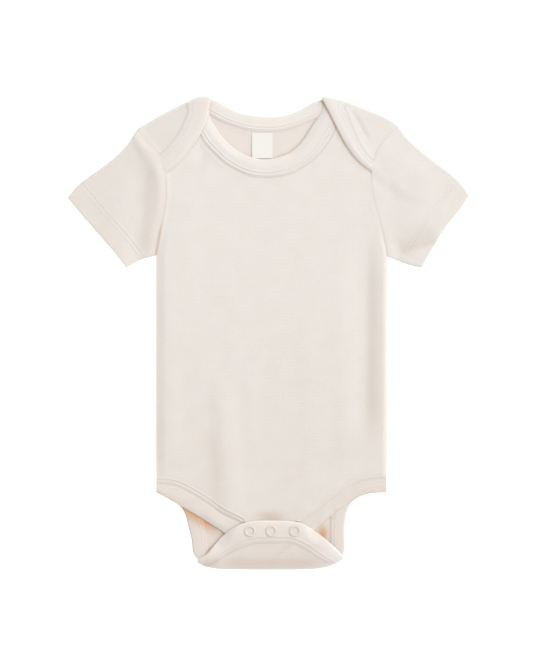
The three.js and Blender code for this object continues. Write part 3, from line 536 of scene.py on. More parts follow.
# A binding: half circles at both edges, a groove at its seam, and twin ridges of stitching
# beside it whose thread pulls the cloth in at each stitch.
bandShape = dict(edgeRound=1.3, edgeShare=0.36, sink=0.7, twinColumns=(6, 13), twinWidth=0.8,
                 twinRise=0.26, crown=0.2)


def dressBand(points, twinShare=1.0, under=0.0, dip=0.4, dipWidth=3.0, seamShade=0.1, edgeShade=0.0, drop=0.0,
              dropReach=5.0, thin=0.0):
    width = np.linalg.norm(points[:, -1] - points[:, 0], axis=-1)[:, None]
    across = np.append(0, np.cumsum(np.diff(acrossBand)))[None] * width
    toEdge = np.maximum(width - across, 0)
    middleLine = points[:, 12]
    run = np.append(0, np.cumsum(np.linalg.norm(np.diff(middleLine, axis=0), axis=1)))[:, None]
    roundness = np.clip(toEdge / bandShape["edgeRound"], 0, 1)
    swell = bandShape["edgeShare"] + (1 - bandShape["edgeShare"]) * np.sin(roundness * np.pi / 2)
    half = cloth["band"] / 2 * swell * (1 - thin)
    atSeam = bell(across, 0, dipWidth)
    points = points.copy()
    points[..., 2] -= cloth["band"] / 2 * (1 - swell) * bandShape["sink"]
    points[..., 2] -= drop * (1 - smooth(toEdge / dropReach))
    pull = 0.82 + 0.18 * np.cos(2 * np.pi * run / cloth["stitchPitch"])
    twins = sum(bell(across, acrossBand[k] * width, bandShape["twinWidth"])
                for k in bandShape["twinColumns"])
    betweenTwins = bell(across, (acrossBand[6] + acrossBand[13]) / 2 * width, 0.7)
    crown = bandShape["crown"] * np.sin(np.pi * np.clip((across - 4) / np.maximum(width - 4, 1), 0, 1))
    up = bandShape["twinRise"] * twins * pull * np.asarray(twinShare).reshape(-1, 1) + crown
    up = up * np.clip(toEdge / 1.5, 0, 1) - dip * atSeam
    down = -0.12 * twins - 0.2 * atSeam
    # Painted shade in the seam, between the twin rows, evenly where the band lies under another layer (under), and at
    # its bound edge.
    paintedShade = seamShade * bell(across, 0, 0.9) + 0.06 * twinShare * betweenTwins + under + 0 * run
    paintedShade = paintedShade + edgeShade * bell(toEdge, 0, 1.2)
    uv = np.stack([run + 0 * across, across + 0 * run], axis=-1)
    return grid(points, half, up, down, paintedShade, uv)


# Panels

def outwardHalf(distance, half, edge=0.7):
    return half * np.clip(0.55 + 0.45 * np.abs(distance) / edge, 0, 1)


frontLook = dict(
    level=3.2, riseLeft=9.0, riseRight=3.5, stop=0.7, rowPower=1.4, foldReach=6.0,
    folds=[
        (88, -88, 90, 76, 17, 8.5, -1.6), (70, -95, 72, 10, 12, 12, 0.35),
        (-33, -178, -45, -52, 10, 14, 1.35),
        (-84, 20, -70, 120, 14, 14, 0.4), (-14, -150, -16, -40, 7, 7, 0.25),
        (36, -140, 38, -5, 8, 8, 0.28), (58, -125, 60, -15, 8, 8, -0.25),
        (-88, -120, -92, 30, 7, 9, 0.3), (44, -157, 66, -139, 7, 5, 0.35),
        (-78, 112, -56, 142, 6, 8, 0.4), (-66, 168, -48, 150, 6, 5, -0.35),
    ],
    dents=[(0, -173, 14, 6, -1.2), (-30, -166, 9, 6, -0.3), (36, -163, 12, 8, 0.5)],
    # Painted shade along folds, above the crotch and more towards the bottom.
    shades=[
        (96, -84, 97, 76, 7, 5, 0.12), (-47, -166, -50, -95, 8, 4, 0.09),
        (103.5, -90, 104, 60, 5, 6, 0.05), (-60, 164, -58, 150, 5, 4, 0.07),
    ],
    crotchShade=(1, -169, 12, 5, 0.26), lowShade=0.1,
    cockle=0.06,
    armLevels=[(0, 1.8), (0.25, 2.2), (0.375, 2.55), (0.44, 3.1), (0.75, 2.95), (1, 1.8)],
    flat=(0.236, 0.384), area=0.069,
)


def levelAt(rows, at):
    at = np.asarray(at)
    places, levels = np.array(rows, float).T
    k = np.clip(np.searchsorted(places, at - 1e-9), 1, len(places) - 1)
    share = smooth((at - places[k - 1]) / (places[k] - places[k - 1]))
    return levels[k - 1] + (levels[k] - levels[k - 1]) * share


def frontShoulder(side):
    radius = shoulderRadius(side["panelFold"])
    reach = cloth["wall"] / 2 + radius + frontLook["stop"]
    line = side["panelFold"] + side["panelInwards"] * reach[:, None]
    line[:, 2] = floorLevel + radius
    return line


neckEnds = [frontShoulder(side)[-1] for side in (left, right)]
frontNeckRows = [neckEnds[0], *middle["frontNeckSeam"], neckEnds[1]]
frontNeckLine = curve(frontNeckRows, shares(120))
frontLegLines = [curve(side["frontLegSeam"], shares(60)) for side in (left, right)]


# Level inside a rim: the rim's own at its nearest point, rising to the middle's within a reach.
def levelFromRim(points, rim, reach, middleLevel):
    gap, run = nearLine(points, rim)
    rimRun = np.append(0, np.cumsum(np.linalg.norm(np.diff(rim[:, :2], axis=0), axis=1)))
    edge = np.interp(run, rimRun, rim[:, 2])
    return edge + (middleLevel - edge) * smooth(np.abs(gap) / reach)


# What the seams do to the front: a dip into each seam, the twin stitching beside the leg
# seams, and the ridge of the armhole's turned seam; and the shade painted into the seams, beside the laps' edges,
# along folds, above the crotch and towards the bottom.
def frontRelief(points):
    up = np.zeros(points.shape[:2])
    # Painted shade: in the neck, leg and armhole seams, a painted shadow beside each lap's edge, along the listed
    # folds, above the crotch, and more towards the bottom.
    paintedShade = np.zeros(points.shape[:2])
    neck, _ = nearLine(points, frontNeckLine)
    up += 0.1 * bell(neck, 0, 4.5) - 0.1 * bell(neck, 0, 1)
    paintedShade += 0.26 * bell(neck, 0, 1.1) * (1 - 0.7 * smooth(points[..., 0] / 40))
    for side, line in zip((left, right), frontLegLines):
        gap, run = nearLine(points, line)
        gap = np.abs(gap)
        pull = 0.85 + 0.15 * np.cos(2 * np.pi * run / cloth["stitchPitch"])
        up += side["legRidge"] * (bell(gap, 1.9, 0.85) + bell(gap, 4.9, 0.85)) * pull
        paintedShade += side["legSeamShade"] * (bell(gap, 0, 0.8) + 0.6 * bell(gap, 3.3, 0.7))
    for side in (left, right):
        gap, run = nearLine(points, side["armLine"])
        gap = np.abs(gap)
        whole = run / run.max()
        fade = 1 - smooth((whole - 0.75) / 0.25) * 0.6
        up += side["armRidge"] * bell(gap, side["armRidgeAt"], side["armRidgeWidth"]) * fade
        paintedShade += (side["armShade"] + side["underarmShade"] * smooth((whole - 0.72) / 0.14)) * bell(gap, 0, 1.1)
        paintedShade += side["lapShade"] * underEdge(points, side["lapEdgeLine"], side["lapShadeReach"])
        up += 0.3 * underEdge(points, side["lapEdgeLine"], 6)
    paintedShade += foldRise(frontLook["shades"], points) + dentRise([frontLook["crotchShade"]], points)
    paintedShade += frontLook["lowShade"] * smooth((140 - points[..., 1]) / 300)
    return up, paintedShade


def frontPanel():
    shoulderLeft = frontShoulder(left)
    shoulderRight = frontShoulder(right)[::-1]
    neck = shifted(curve(frontNeckRows, shares(cloth["neckCells"])), -cloth["seam"])
    top = np.vstack([shoulderLeft, neck[1:-1], shoulderRight])
    armShares = shares(cloth["armCells"])
    chest = []
    for side, corner in ((left, top[0]), (right, top[-1])):
        line = bodyArm(side, armShares)
        line[:, 2] = levelAt(frontLook["armLevels"], armShares)
        chest.append(fromCorner(line, corner)[::-1])
    spread = ((top[:, 0] - top[0, 0]) / (top[-1, 0] - top[0, 0]))[:, None]
    waist = chest[0][0] + (chest[1][0] - chest[0][0]) * spread
    across = waist[:, 0]
    rise = np.where(across < 0, smooth((across - across[0]) / frontLook["riseLeft"]),
                    smooth((across[-1] - across) / frontLook["riseRight"]))
    waist[:, 2] += (frontLook["level"] - waist[:, 2]) * rise
    lower = []
    for side, upper in ((left, chest[0]), (right, chest[1])):
        seam = shifted(curve(side["frontLegSeam"], shares(cloth["legCells"])), side["sign"] * cloth["seam"])
        edge = curve(side["frontSide"], 1 - shares(cloth["frontSideCells"]) ** frontLook["rowPower"])
        edge = fromCorner(edge[::-1], upper[0])[::-1]
        lower.append(np.vstack([seam[::-1], edge[1:]]))
    crotch = lower[0][0] + (lower[1][0] - lower[0][0]) * spread
    points = np.concatenate([patch(crotch, waist, *lower),
                             patch(waist, top, *chest, cloth["chestReach"])[1:]])
    towardsTop = np.append(np.zeros(len(lower[0])), shares(cloth["armCells"])[1:])[:, None] ** 3
    inside = frontLook["level"] + (top[:, 2][None] - frontLook["level"]) * towardsTop
    rims = [np.vstack([low, high[1:]]) for low, high in zip(lower, chest)]
    points[..., 2] = np.where(
        points[..., 0] < 0, levelFromRim(points, rims[0], frontLook["riseLeft"], inside),
        levelFromRim(points, rims[1], frontLook["riseRight"], inside))
    points[-1, :, 2] = top[:, 2]
    rim = np.vstack([lower[0], chest[0][1:], top[1:], chest[1][::-1][1:], lower[1][::-1][1:]])
    inner = smooth(np.abs(nearLine(points, rim[::4])[0]) / frontLook["foldReach"])
    points[..., 2] += inner * (foldRise(frontLook["folds"], points) + dentRise(frontLook["dents"], points)
                               + cockle(points, frontLook["cockle"]))
    up, paintedShade = frontRelief(points)
    dressed = grid(points, cloth["wall"] / 2, up, 0.0, paintedShade)
    piece = clothShell("frontPanel", [dressed])
    piece.data.materials.append(interlock)
    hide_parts("front")
    return piece, dressed


front, frontCloth = frontPanel()

backLook = dict(
    flat=(0.238, 0.5), area=0.0845,
    flapFolds=[(2, -212, 24, -196, 3.5, 6, 0.55)],
    flapShades=[(6.5, -206, 22, -194.5, 2.6, 0.9, 0.1), (-60, -214, -46, -216, 9, 9, 0.3),
                (-40, -218, 50, -218, 9, 7, 0.5), (-45, -204, 45, -204, 30, 30, 0.14)],
    # Amounts of painted shade on the back: in its neck seam, inside the leg openings and evenly over its chest.
    backNeckShade=0.1, backNeckDeep=(-50, 202, 14, 0.25), insideShade=0.15, neckInsideShade=0.06,
    neckEdgeShade=0.25,
    lapFolds=[(79, 203, 92, 179, 1.5, 1.8, -0.4)],
    lapShades=[(78, 203, 91, 179, 1.2, 1.0, 0.24)],
    # Painted shade in the leg openings and at the right opening's corner; paleCorner takes some of it away at the
    # left one.
    openingShade=(left, 0.62, 11.5), flapEdgeShade=(0.24, 2.6), corner=(50, -185, 4.2, 6.5, 0.74),
    paleCorner=(-47, -185, 6, 6, 0.6),
)


# The crotch fold is pressed: its upper layer slopes down to the outline.
pressed = dict(depth=2.4, reach=11.0)


def pressFold(points):
    outline = curve(middle["crotchOutline"], shares(60))
    gap = np.abs(nearLine(points, outline)[0])
    lift = smooth((points[..., 2] - floorLevel) / (2 * cloth["crotchRadius"]))
    lowered = points.copy()
    lowered[..., 2] -= pressed["depth"] * lift * np.clip(1 - gap / pressed["reach"], 0, 1) ** 2
    return lowered


# Warm shade inside the leg openings, beside the front's edge and the flap's.
def openingShade(points):
    side, depth, reach = backLook["openingShade"]
    shade = depth * underEdge(points, side["frontLegEdgeLine"], reach)
    shade = shade * (1 - dentRise([backLook["paleCorner"]], points))
    flapLine = curve(middle["flapEdge"], shares(60))
    depth, reach = backLook["flapEdgeShade"]
    shade = np.maximum(shade, depth * underEdge(points, flapLine, reach))
    shade = np.maximum(shade, dentRise([backLook["corner"]], points)) + backLook["insideShade"]
    return shade * (points[..., 2] < 2.0)


def backLegSeamLine(side, corner, at):
    return curve([*side["backLegSeam"], corner * (1, 1, 0)], at)


crotchCells = 2 * cloth["shoulderCells"] + cloth["neckCells"]
crotchPanelLine = curve(middle["crotchOutline"], shares(
    crotchCells, middle["crotchSeams"][0] + middle["crotchClear"], middle["crotchSeams"][1] - middle["crotchClear"]))
crotchFold = foldRows(crotchPanelLine, inwards(crotchPanelLine, hipCentre), cloth["crotchRadius"],
                      cloth["wall"] / 2, floorLevel)
backNeckRows = [left["foldGrid"][0, -1] * (1, 1, 0), *middle["backNeckSeam"],
                right["foldGrid"][0, -1] * (1, 1, 0)]
flapSeamRows = [crotchFold[0, 0] * (1, 1, 0), *middle["flapSeam"], crotchFold[0, -1] * (1, 1, 0)]
flapSeamLine = curve(flapSeamRows, shares(90))
backNeckLine = curve(backNeckRows, shares(90))


# Lap: the back's shoulder turned over the fold. Rows run from the fold to the armhole, and
# the fold's bow fades out on the way.
def lapGrid(side):
    rows = 44
    fold = side["foldGrid"][-1]
    at = shares(rows)
    armSide = fromCorner(bodyArm(side, at * side["lapSeamEnd"]), fold[0], 0.5)
    seamSide = fromCorner(curve(side["lapSeamLine"], at), fold[-1], 0.5)
    seamSide = shifted(seamSide, -side["sign"] * cloth["seam"])
    seamSide[0] = fold[-1]
    seamSide[-1] = armSide[-1]
    u = np.linspace(0, 1, len(fold))[None, :, None]
    v = at[:, None, None]
    bow = fold[None] - (fold[0] + (fold[-1] - fold[0]) * u)
    points = armSide[:, None] + (seamSide - armSide)[:, None] * u + bow * (1 - v)
    points = atLevel(points, lapLevel)
    points[0] = fold
    gap, _ = nearLine(points, curve(side["lapSeamLine"], shares(40)))
    gap = np.abs(gap)
    arm = np.abs(nearLine(points, side["armLine"])[0])
    up = cloth["seamLift"] * bell(gap, 0, 4) + side["armRidge"] * bell(arm, side["armRidgeAt"], side["armRidgeWidth"])
    up = up + foldRise(backLook["lapFolds"], points)
    up = up * smooth(v[..., 0] * 8)
    near, far = side["lapSeamShade"]
    # Painted shade in the lap's seam and armhole seam, an even painted shade over the whole lap, and along its
    # crease.
    paintedShade = (near + (far - near) * smooth(v[..., 0] * 1.6)) * bell(gap, 0, 0.9) + side["armShade"] * bell(arm, 0, 1)
    paintedShade = paintedShade * smooth(v[..., 0] * 8) + side["lapPaintedShade"] + foldRise(backLook["lapShades"], points)
    return grid(points, cloth["wall"] / 2, up, -0.05, paintedShade)


# Shade in the back's neck seam: deep at its left end, faint along the rest.
def neckShade(points):
    x0, y0, reach, depth = backLook["backNeckDeep"]
    return backLook["backNeckShade"] + dentRise([(x0, y0, reach, reach, depth)], points)


def backPanel():
    half = cloth["wall"] / 2
    neck = atLevel(shifted(curve(backNeckRows, shares(cloth["neckCells"])), -cloth["seam"]), floorLevel)
    top = np.vstack([left["foldGrid"][0], neck[1:-1], right["foldGrid"][0][::-1]])
    spread = ((top[:, 0] - top[0, 0]) / (top[-1, 0] - top[0, 0]))[:, None]
    armShares = shares(cloth["armCells"] // 2)
    chest = [fromCorner(atLevel(bodyArm(side, armShares), floorLevel), corner)[::-1]
             for side, corner in ((left, top[0]), (right, top[-1]))]
    chestLow = chest[0][0] + (chest[1][0] - chest[0][0]) * spread
    legs = []
    for side, corner in ((left, crotchFold[0, 0]), (right, crotchFold[0, -1])):
        line = backLegSeamLine(side, corner, shares(cloth["legCells"]))
        line = atLevel(shifted(line, side["sign"] * cloth["seam"]), floorLevel)
        line[-1] = corner
        legs.append(line)
    hip = legs[0][0] + (legs[1][0] - legs[0][0]) * spread
    v = shares(cloth["backSideCells"])[:, None]
    sides = [low[0] + (high[0] - low[0]) * v for low, high in zip(legs, chest)]

    fold = crotchFold[-1]
    flapTop = atLevel(shifted(curve(flapSeamRows, shares(crotchCells)), -cloth["seam"]), flapLevel)
    flapTop[0] = fold[0]
    flapTop[-1] = fold[-1]
    flap = flapTop[None] + (fold - flapTop)[None] * shares(cloth["flapCells"])[:, None, None]
    flap = atLevel(flap, flapLevel)
    flap[-1] = fold
    gap = np.abs(nearLine(flap, flapSeamLine)[0])
    fromFold = smooth((flap[..., 1] + 216) / 8)
    flapUp = (cloth["seamLift"] * bell(gap, 0, 4) + foldRise(backLook["flapFolds"], flap)) * fromFold
    # Painted shade in the flap's seam and along its folds and its lower edge, fainter near the fold.
    flapPaintedShade = (0.12 * bell(gap, 0, 0.8) + foldRise(backLook["flapShades"], flap)) * (0.4 + 0.6 * fromFold)

    chestGrid = patch(chestLow, top, *chest, cloth["chestReach"])
    neckGap = np.abs(nearLine(chestGrid, backNeckLine)[0])
    armGap = np.minimum(*[np.abs(nearLine(chestGrid, side["armLine"])[0]) for side in (left, right)])
    chestUp = cloth["seamLift"] * bell(neckGap, 0, 4)
    chestDown = -0.12 * bell(armGap, 3, 1.2) - 0.2 * bell(armGap, 0, 0.8) - 0.2 * bell(neckGap, 0, 0.8)
    # Painted shadow of the front binding's inner edge on the back, on its right half.
    edgeShade = backLook["neckEdgeShade"] * smooth((chestGrid[..., 0] + 10) / 30) * underEdge(
        chestGrid, curve(middle["frontNeckEdge"], shares(80)), 3.0)
    hipGrid = patch(crotchFold[0], hip, legs[0][::-1], legs[1][::-1])
    grids = [
        grid(pressFold(flap), half, flapUp, -0.05, flapPaintedShade),
        grid(pressFold(crotchFold[::-1]), half),
        grid(hipGrid, half, 0.0, 0.0, openingShade(hipGrid)),
        grid(patch(hip, chestLow, *sides), half),
        # Painted shade in the back's neck seam, and an even painted shade over the back's chest, seen inside the
        # neck.
        grid(chestGrid, half, chestUp, chestDown, neckShade(chestGrid) * bell(neckGap, 0, 1.2) + edgeShade
             + backLook["neckInsideShade"]),
        grid(left["foldGrid"], half), grid(right["foldGrid"][:, ::-1], half),
        lapGrid(left),
    ]
    mirrored = lapGrid(right)
    grids.append({key: value[:, ::-1] for key, value in mirrored.items()})
    piece = clothShell("backPanel", grids)
    piece.data.materials.append(interlock)
    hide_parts("back")
    return piece


back = backPanel()


# Sleeves: flattened tubes from the armhole to the hem, folded at the top edge and underarm.
sleeveLook = dict(
    cells=84, around=84, hemLevel=3.4, edgeShare=0.04,
    head=[(0, 3.1), (0.2, 4.2), (0.34, 4.3), (0.45, 3.2), (0.75, 3), (1, 2.1)],
    folds=[(-122, 66, -114, 150, 14, 8, -1.3), (-121, 176, -104, 146, 5, 5, 0.5),
           (-150, 80, -126, 140, 9, 9, 0.35), (-138, 72, -120, 112, 6, 9, 0.4),
           (118, 73, 153, 84, 17, 5, -1.3), (132, 96, 146, 146, 12, 16, 0.7),
           (100, 160, 118, 118, 7, 10, -0.4)],
    shades=[(-114, 80, -109, 146, 7, 5, 0.05), (120, 74, 150, 84, 13, 5, 0.2),
            (118, 96, 118, 130, 8, 10, 0.04)],
    hemDepth=18.0, twinGap=3.2,
)


def sleeve(name, node, side):
    u = np.concatenate([[0], np.linspace(sleeveLook["edgeShare"], 1 - sleeveLook["edgeShare"],
                                         sleeveLook["around"]), [1]])
    v = shares(sleeveLook["cells"])
    top = curve(side["sleeveTop"], v)
    under = curve(side["underarm"], v)
    hem = curve(side["hem"], u)
    start = rowsToPoints(side["sleeveTop"])[:2]
    under0, under1 = rowsToPoints(side["underarm"])[:2]
    armhole = shifted(curve(side["arm"], u), -side["sign"] * cloth["seam"])
    top[0] = start[0] + (start[1] - start[0]) * 0.004
    under[0] = under0 + (under1 - under0) * 0.01
    armhole[0] = top[0]
    armhole[-1] = under[0]
    uu, vv = u[None, :, None], v[:, None, None]
    corners = ((armhole[0] + (armhole[-1] - armhole[0]) * uu) * (1 - vv)
               + (hem[0] + (hem[-1] - hem[0]) * uu) * vv)
    flat = (armhole[None] * (1 - vv) + hem[None] * vv
            + top[:, None] * (1 - uu) + under[:, None] * uu - corners)
    head = levelAt(sleeveLook["head"], u)[None]
    level = head + (sleeveLook["hemLevel"] - head) * smooth(v)[:, None] + foldRise(sleeveLook["folds"], flat)
    upper = flat[:, 1:-1].copy()
    upper[..., 2] = level[:, 1:-1]
    lower = flat[:, 1:-1].copy()
    lower[..., 2] = floorLevel
    turns = []
    for end, nxt in ((0, 1), (-1, -2)):
        inward = flat[:, nxt] - flat[:, end]
        inward /= np.linalg.norm(inward, axis=1, keepdims=True)
        radius = (level[:, nxt] - floorLevel) / 2
        turns.append(np.swapaxes(foldRows(flat[:, end], inward, radius, cloth["wall"] / 2, floorLevel), 0, 1))
    ring = np.concatenate([turns[0], upper, turns[1][:, ::-1], lower[:, ::-1], turns[0][:, :1]], axis=1)

    hemLine = curve(side["hem"], shares(50))
    toHem = np.abs(nearLine(ring, hemLine)[0])
    armGap, armRun = nearLine(ring, side["armLine"])
    armGap = np.abs(armGap)
    depth = sleeveLook["hemDepth"]
    up = 0.09 * bell(toHem, depth - 1.6, 0.9) + 0.09 * bell(toHem, depth + 1.6, 0.9)
    up = up - 0.06 * bell(toHem, depth, 0.9) + 0.05 * smooth((depth - toHem) / 4)
    height, place, width = side["sleeveRidge"]
    up = up + height * bell(armGap, place, width) * (1 - 0.6 * smooth(armRun / armRun.max() * 2.2 - 1.1))
    underarm = smooth((armRun / armRun.max() - 0.72) / 0.14)
    # Painted shade in the armhole seam, deeper towards the underarm, along the sleeve's folds, and an even painted
    # shade over the whole sleeve.
    paintedShade = (side["armShade"] + side["underarmShade"] * underarm) * bell(armGap, 0, 1.3)
    paintedShade = paintedShade + foldRise(sleeveLook["shades"], ring) + side["sleevePaintedShade"]
    down = -0.1 * bell(toHem, depth, 0.8) - 0.2 * bell(armGap, 0, 0.9)
    half = cloth["wall"] / 2 * np.sqrt(np.clip(toHem / 0.6, 0.05, 1))
    run = np.linalg.norm(ring[:1] - ring, axis=-1)
    round0 = np.append(0, np.cumsum(np.linalg.norm(np.diff(ring[len(ring) // 2], axis=0), axis=1)))
    uv = np.stack([np.broadcast_to(round0[None], run.shape), run], axis=-1)
    dressed = grid(ring, half, up, down, paintedShade, uv)
    piece = clothShell(name, [dressed])
    piece.data.materials.append(interlock)
    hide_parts(node)
    topSide = slice(cloth["foldCells"] + 1, cloth["foldCells"] + 1 + upper.shape[1])
    return piece, {key: value[:, topSide] for key, value in dressed.items()}


sleeveLeft, sleeveLeftCloth = sleeve("sleeveLeft", "sleeve_left", left)
sleeveRight, sleeveRightCloth = sleeve("sleeveRight", "sleeve_right", right)


# Bindings

def joinRows(*parts):
    return np.concatenate([np.atleast_3d(p) if p.ndim < 3 else p for p in parts], axis=0)


def ruled(seam, edge, level):
    return atLevel(seam[:, None] + (edge - seam)[:, None] * acrossBand[None, :, None], level)


def backNeckBand():
    cells = 60
    laps = []
    for side in (left, right):
        fold = side["neckFoldGrid"][-1]
        arms = curve(side["arm"], [side["lapSeamEnd"], side["lapEdgeEnd"]])
        inside = side["sign"] * cloth["seam"]
        seam = shifted(curve([fold[0] * (1, 1, 0), *side["lapSeam"], arms[0]], shares(cells)), inside)
        edge = shifted(curve([fold[-1] * (1, 1, 0), *side["lapEdge"], arms[1]], shares(cells)), inside)
        seam[-1, 0] += 2 * inside
        edge[-1, 0] += 2 * inside
        rows = ruled(seam, edge, lapBandLevel)
        rows[0] = fold
        laps.append(rows)
    seam = shifted(curve(backNeckRows, shares(220)), cloth["seam"])
    edge = curve([left["neckFoldGrid"][0, -1] * (1, 1, 0), *middle["backNeckEdge"],
                  right["neckFoldGrid"][0, -1] * (1, 1, 0)], shares(220))
    across = ruled(seam, edge, floorBandLevel)
    points = np.concatenate([laps[0][::-1], left["neckFoldGrid"][::-1][1:], across[1:-1],
                             right["neckFoldGrid"], laps[1][1:]])
    lapShare = smooth((np.abs(points[:, 0, 0]) - 58) / 8)[:, None]
    # Painted shade: evenly under the left lap, and in the seam, deeper at the top of the left lap.
    under = 0.1 * lapShare * (points[:, :1, 0] < 0)
    shade = 0.12 + 0.13 * lapShare * (points[:, :1, 0] < 0) * smooth((points[:, :1, 1] - 170) / 25)
    onRight = lapShare * (points[:, :1, 0] > 0)
    onLeft = lapShare * (points[:, :1, 0] < 0)
    free = lapShare * smooth((180 - points[:, -1:, 1]) / 12)
    dressed = dressBand(points, 1 - 0.7 * onRight - 0.7 * onLeft, under, dip=0.27 - 0.05 * lapShare,
                        seamShade=shade, edgeShade=0.12 * onRight, drop=0.4 * lapShare + 0.55 * free,
                        thin=0.3 * lapShare)
    piece = clothShell("neckBindingBack", [dressed])
    piece.data.materials.append(rib)
    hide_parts("neck_band_back")
    return piece, dressed


def frontNeckBand():
    level, stop, cells = 3.0, 0.8, 280
    ends = []
    for side in (left, right):
        reach = cloth["band"] / 2 + cloth["neckRadius"] + stop
        end = side["bandFold"][-1] + side["bandInwards"][-1] * reach
        end[2] = level
        ends.append(end)
    seam = shifted(curve(frontNeckRows, shares(cells)), cloth["seam"])
    seam[:, 2] = np.maximum(seam[:, 2], level)
    edge = curve([ends[0], *middle["frontNeckEdge"], ends[1]], shares(cells))
    points = seam[:, None] + (edge - seam)[:, None] * acrossBand[None, :, None]
    # Painted shadow of the laps' edges on the band, and an even faint painted shade over it.
    under = sum(side["lapShade"] * underEdge(points, side["lapEdgeLine"], side["lapShadeReach"])
                for side in (left, right)) + 0.06
    beside = smooth((np.abs(points[:, -1:, 0] + 5) - 16) / 8)
    dressed = dressBand(points, under=under, dip=0.22, dipWidth=1.4, seamShade=0.26, edgeShade=0.12,
                        drop=0.6 + 0.5 * beside, dropReach=7, thin=0.3)
    piece = clothShell("neckBindingFront", [dressed])
    piece.data.materials.append(rib)
    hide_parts("neck_band_front")
    return piece, dressed


def frontLegBand():
    crotchLevel, legLevel, corner, cells = 2.3, 3.05, 14, 30

    def level(points):
        return crotchLevel + (legLevel - crotchLevel) * smooth((abs(points[..., 0]) - 38) / 16)

    leftSeam = shifted(curve(left["frontLegSeam"], shares(140)), -cloth["seam"])
    rightSeam = shifted(curve(right["frontLegSeam"], shares(140)), cloth["seam"])[::-1]
    crotchSeam = leftSeam[-1] + (rightSeam[0] - leftSeam[-1]) * shares(cells)[:, None]
    leftEdge = curve(left["frontLegEdge"], shares(140))
    rightEdge = curve(right["frontLegEdge"], shares(140))[::-1]
    crotchEdge = curve(middle["frontCrotchEdge"], shares(cells + 2 * corner))
    seam = np.vstack([leftSeam, np.repeat(leftSeam[-1:], corner, 0), crotchSeam[1:-1],
                      np.repeat(rightSeam[:1], corner, 0), rightSeam])
    edge = np.vstack([leftEdge, crotchEdge[1:-1], rightEdge])
    points = ruled(seam, edge, level)
    onLeft = smooth(-points[:, :1, 0] / 20)
    away = np.abs(points[:, -1:, 0])
    overOpening = smooth((away - 40) / 5) * (1 - smooth((away - 60) / 5))
    # An even painted shade over the band, and painted shade in its seam, more on the left.
    dressed = dressBand(points, twinShare=0.0, under=0.2, dip=0.28, dipWidth=2.0,
                        seamShade=0.02 + 0.1 * onLeft, drop=0.3 + 0.65 * overOpening, dropReach=6,
                        thin=0.2)
    piece = clothShell("legBindingFront", [dressed])
    piece.data.materials.append(rib)
    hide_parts("leg_band_front")
    return piece, dressed


def backLegBand():
    ground = (1, 1, 0)
    folds = []
    clear = middle["crotchClear"]
    for start, stop in ((middle["crotchSeams"][0] - clear, 0), (middle["crotchSeams"][1] + clear, 1)):
        outline = curve(middle["crotchOutline"], start + (stop - start) * acrossBand)
        folds.append(foldRows(outline, inwards(outline, hipCentre), cloth["crotchBandRadius"],
                              cloth["band"] / 2, floorBandLevel))
    legs = []
    for side, fold, corner in ((left, folds[0], crotchFold[0, 0]), (right, folds[1], crotchFold[0, -1])):
        seam = shifted(backLegSeamLine(side, corner, shares(140)), -side["sign"] * cloth["seam"])
        edge = curve([*side["backLegEdge"], fold[0, -1] * ground], shares(140))
        legs.append(ruled(seam, edge, floorBandLevel)[:-1])
    seam = shifted(curve(flapSeamRows, shares(260)), cloth["seam"])
    edge = curve([folds[0][-1, -1] * ground, *middle["flapEdge"], folds[1][-1, -1] * ground], shares(260))
    flap = ruled(seam, edge, flapBandLevel)[1:-1]
    points = np.concatenate([legs[0], folds[0], flap, folds[1][::-1], legs[1][::-1]])
    # Painted shade in the leg openings, at the flap's corners and along its folds, plus an even faint one.
    cornerShade = foldRise(backLook["flapShades"], points) * (points[..., 2] > 2.0)
    away = np.abs(points[:, -1:, 0])
    overOpening = smooth((away - 31) / 12) * (1 - smooth((away - 46) / 11))
    onFlap = (points[:, -1:, 2] > 3.2) * 1.0
    dressed = dressBand(points, 0.35 + 0.65 * onFlap, 0.06 + openingShade(points) + cornerShade,
                        drop=onFlap * (0.25 + 2.0 * overOpening), dropReach=5 + 5 * overOpening,
                        thin=0.35 * onFlap * overOpening)
    dressed["points"] = pressFold(dressed["points"])
    piece = clothShell("legBindingBack", [dressed])
    piece.data.materials.append(rib)
    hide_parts("leg_band_back")
    return piece, dressed


neckBack, neckBackCloth = backNeckBand()
neckFront, neckFrontCloth = frontNeckBand()
legFront, legFrontCloth = frontLegBand()
legBack, legBackCloth = backLegBand()
print("cloth done")


# Stitching: rows of the twin needle, each stitch a short thread whose ends dip into the cloth

threadLook = dict(
    length=2.15, radius=0.19, rings=7, sides=6, lift=0.55, colour="#ece6df", shade="#e2dad0",
    twist=0.45,                               # one turn of the two-ply thread, mm
    legRows=(1.9, 4.9), reach=1.6,
)


# Spun polyester sewing thread, two plies: a soft sheen along each stitch.
def threadMaterial():
    material, tree = newMaterial("polyesterThreadSpun")
    flat = addNode(tree, "ShaderNodeUVMap", uv_map="cloth")
    twist = addNode(tree, "ShaderNodeTexWave", {
        "Vector": flat.outputs["UV"], "Scale": 500 / threadLook["twist"], "Distortion": 0.6},
        bands_direction="DIAGONAL")
    tone = addNode(tree, "ShaderNodeMix", {
        "Factor": twist.outputs["Fac"], "A": hexColour(threadLook["shade"]),
        "B": hexColour(threadLook["colour"])}, data_type="RGBA")
    bump = addNode(tree, "ShaderNodeBump", {
        "Strength": 0.6, "Distance": 0.00005, "Height": twist.outputs["Fac"]})
    shader = addNode(tree, "ShaderNodeBsdfPrincipled", {
        "Base Color": tone.outputs["Result"], "Roughness": 0.6, "Sheen Weight": 0.3,
        "Normal": bump.outputs["Normal"]})
    addNode(tree, "ShaderNodeOutputMaterial", {"Surface": shader.outputs["BSDF"]})
    return material


thread = threadMaterial()


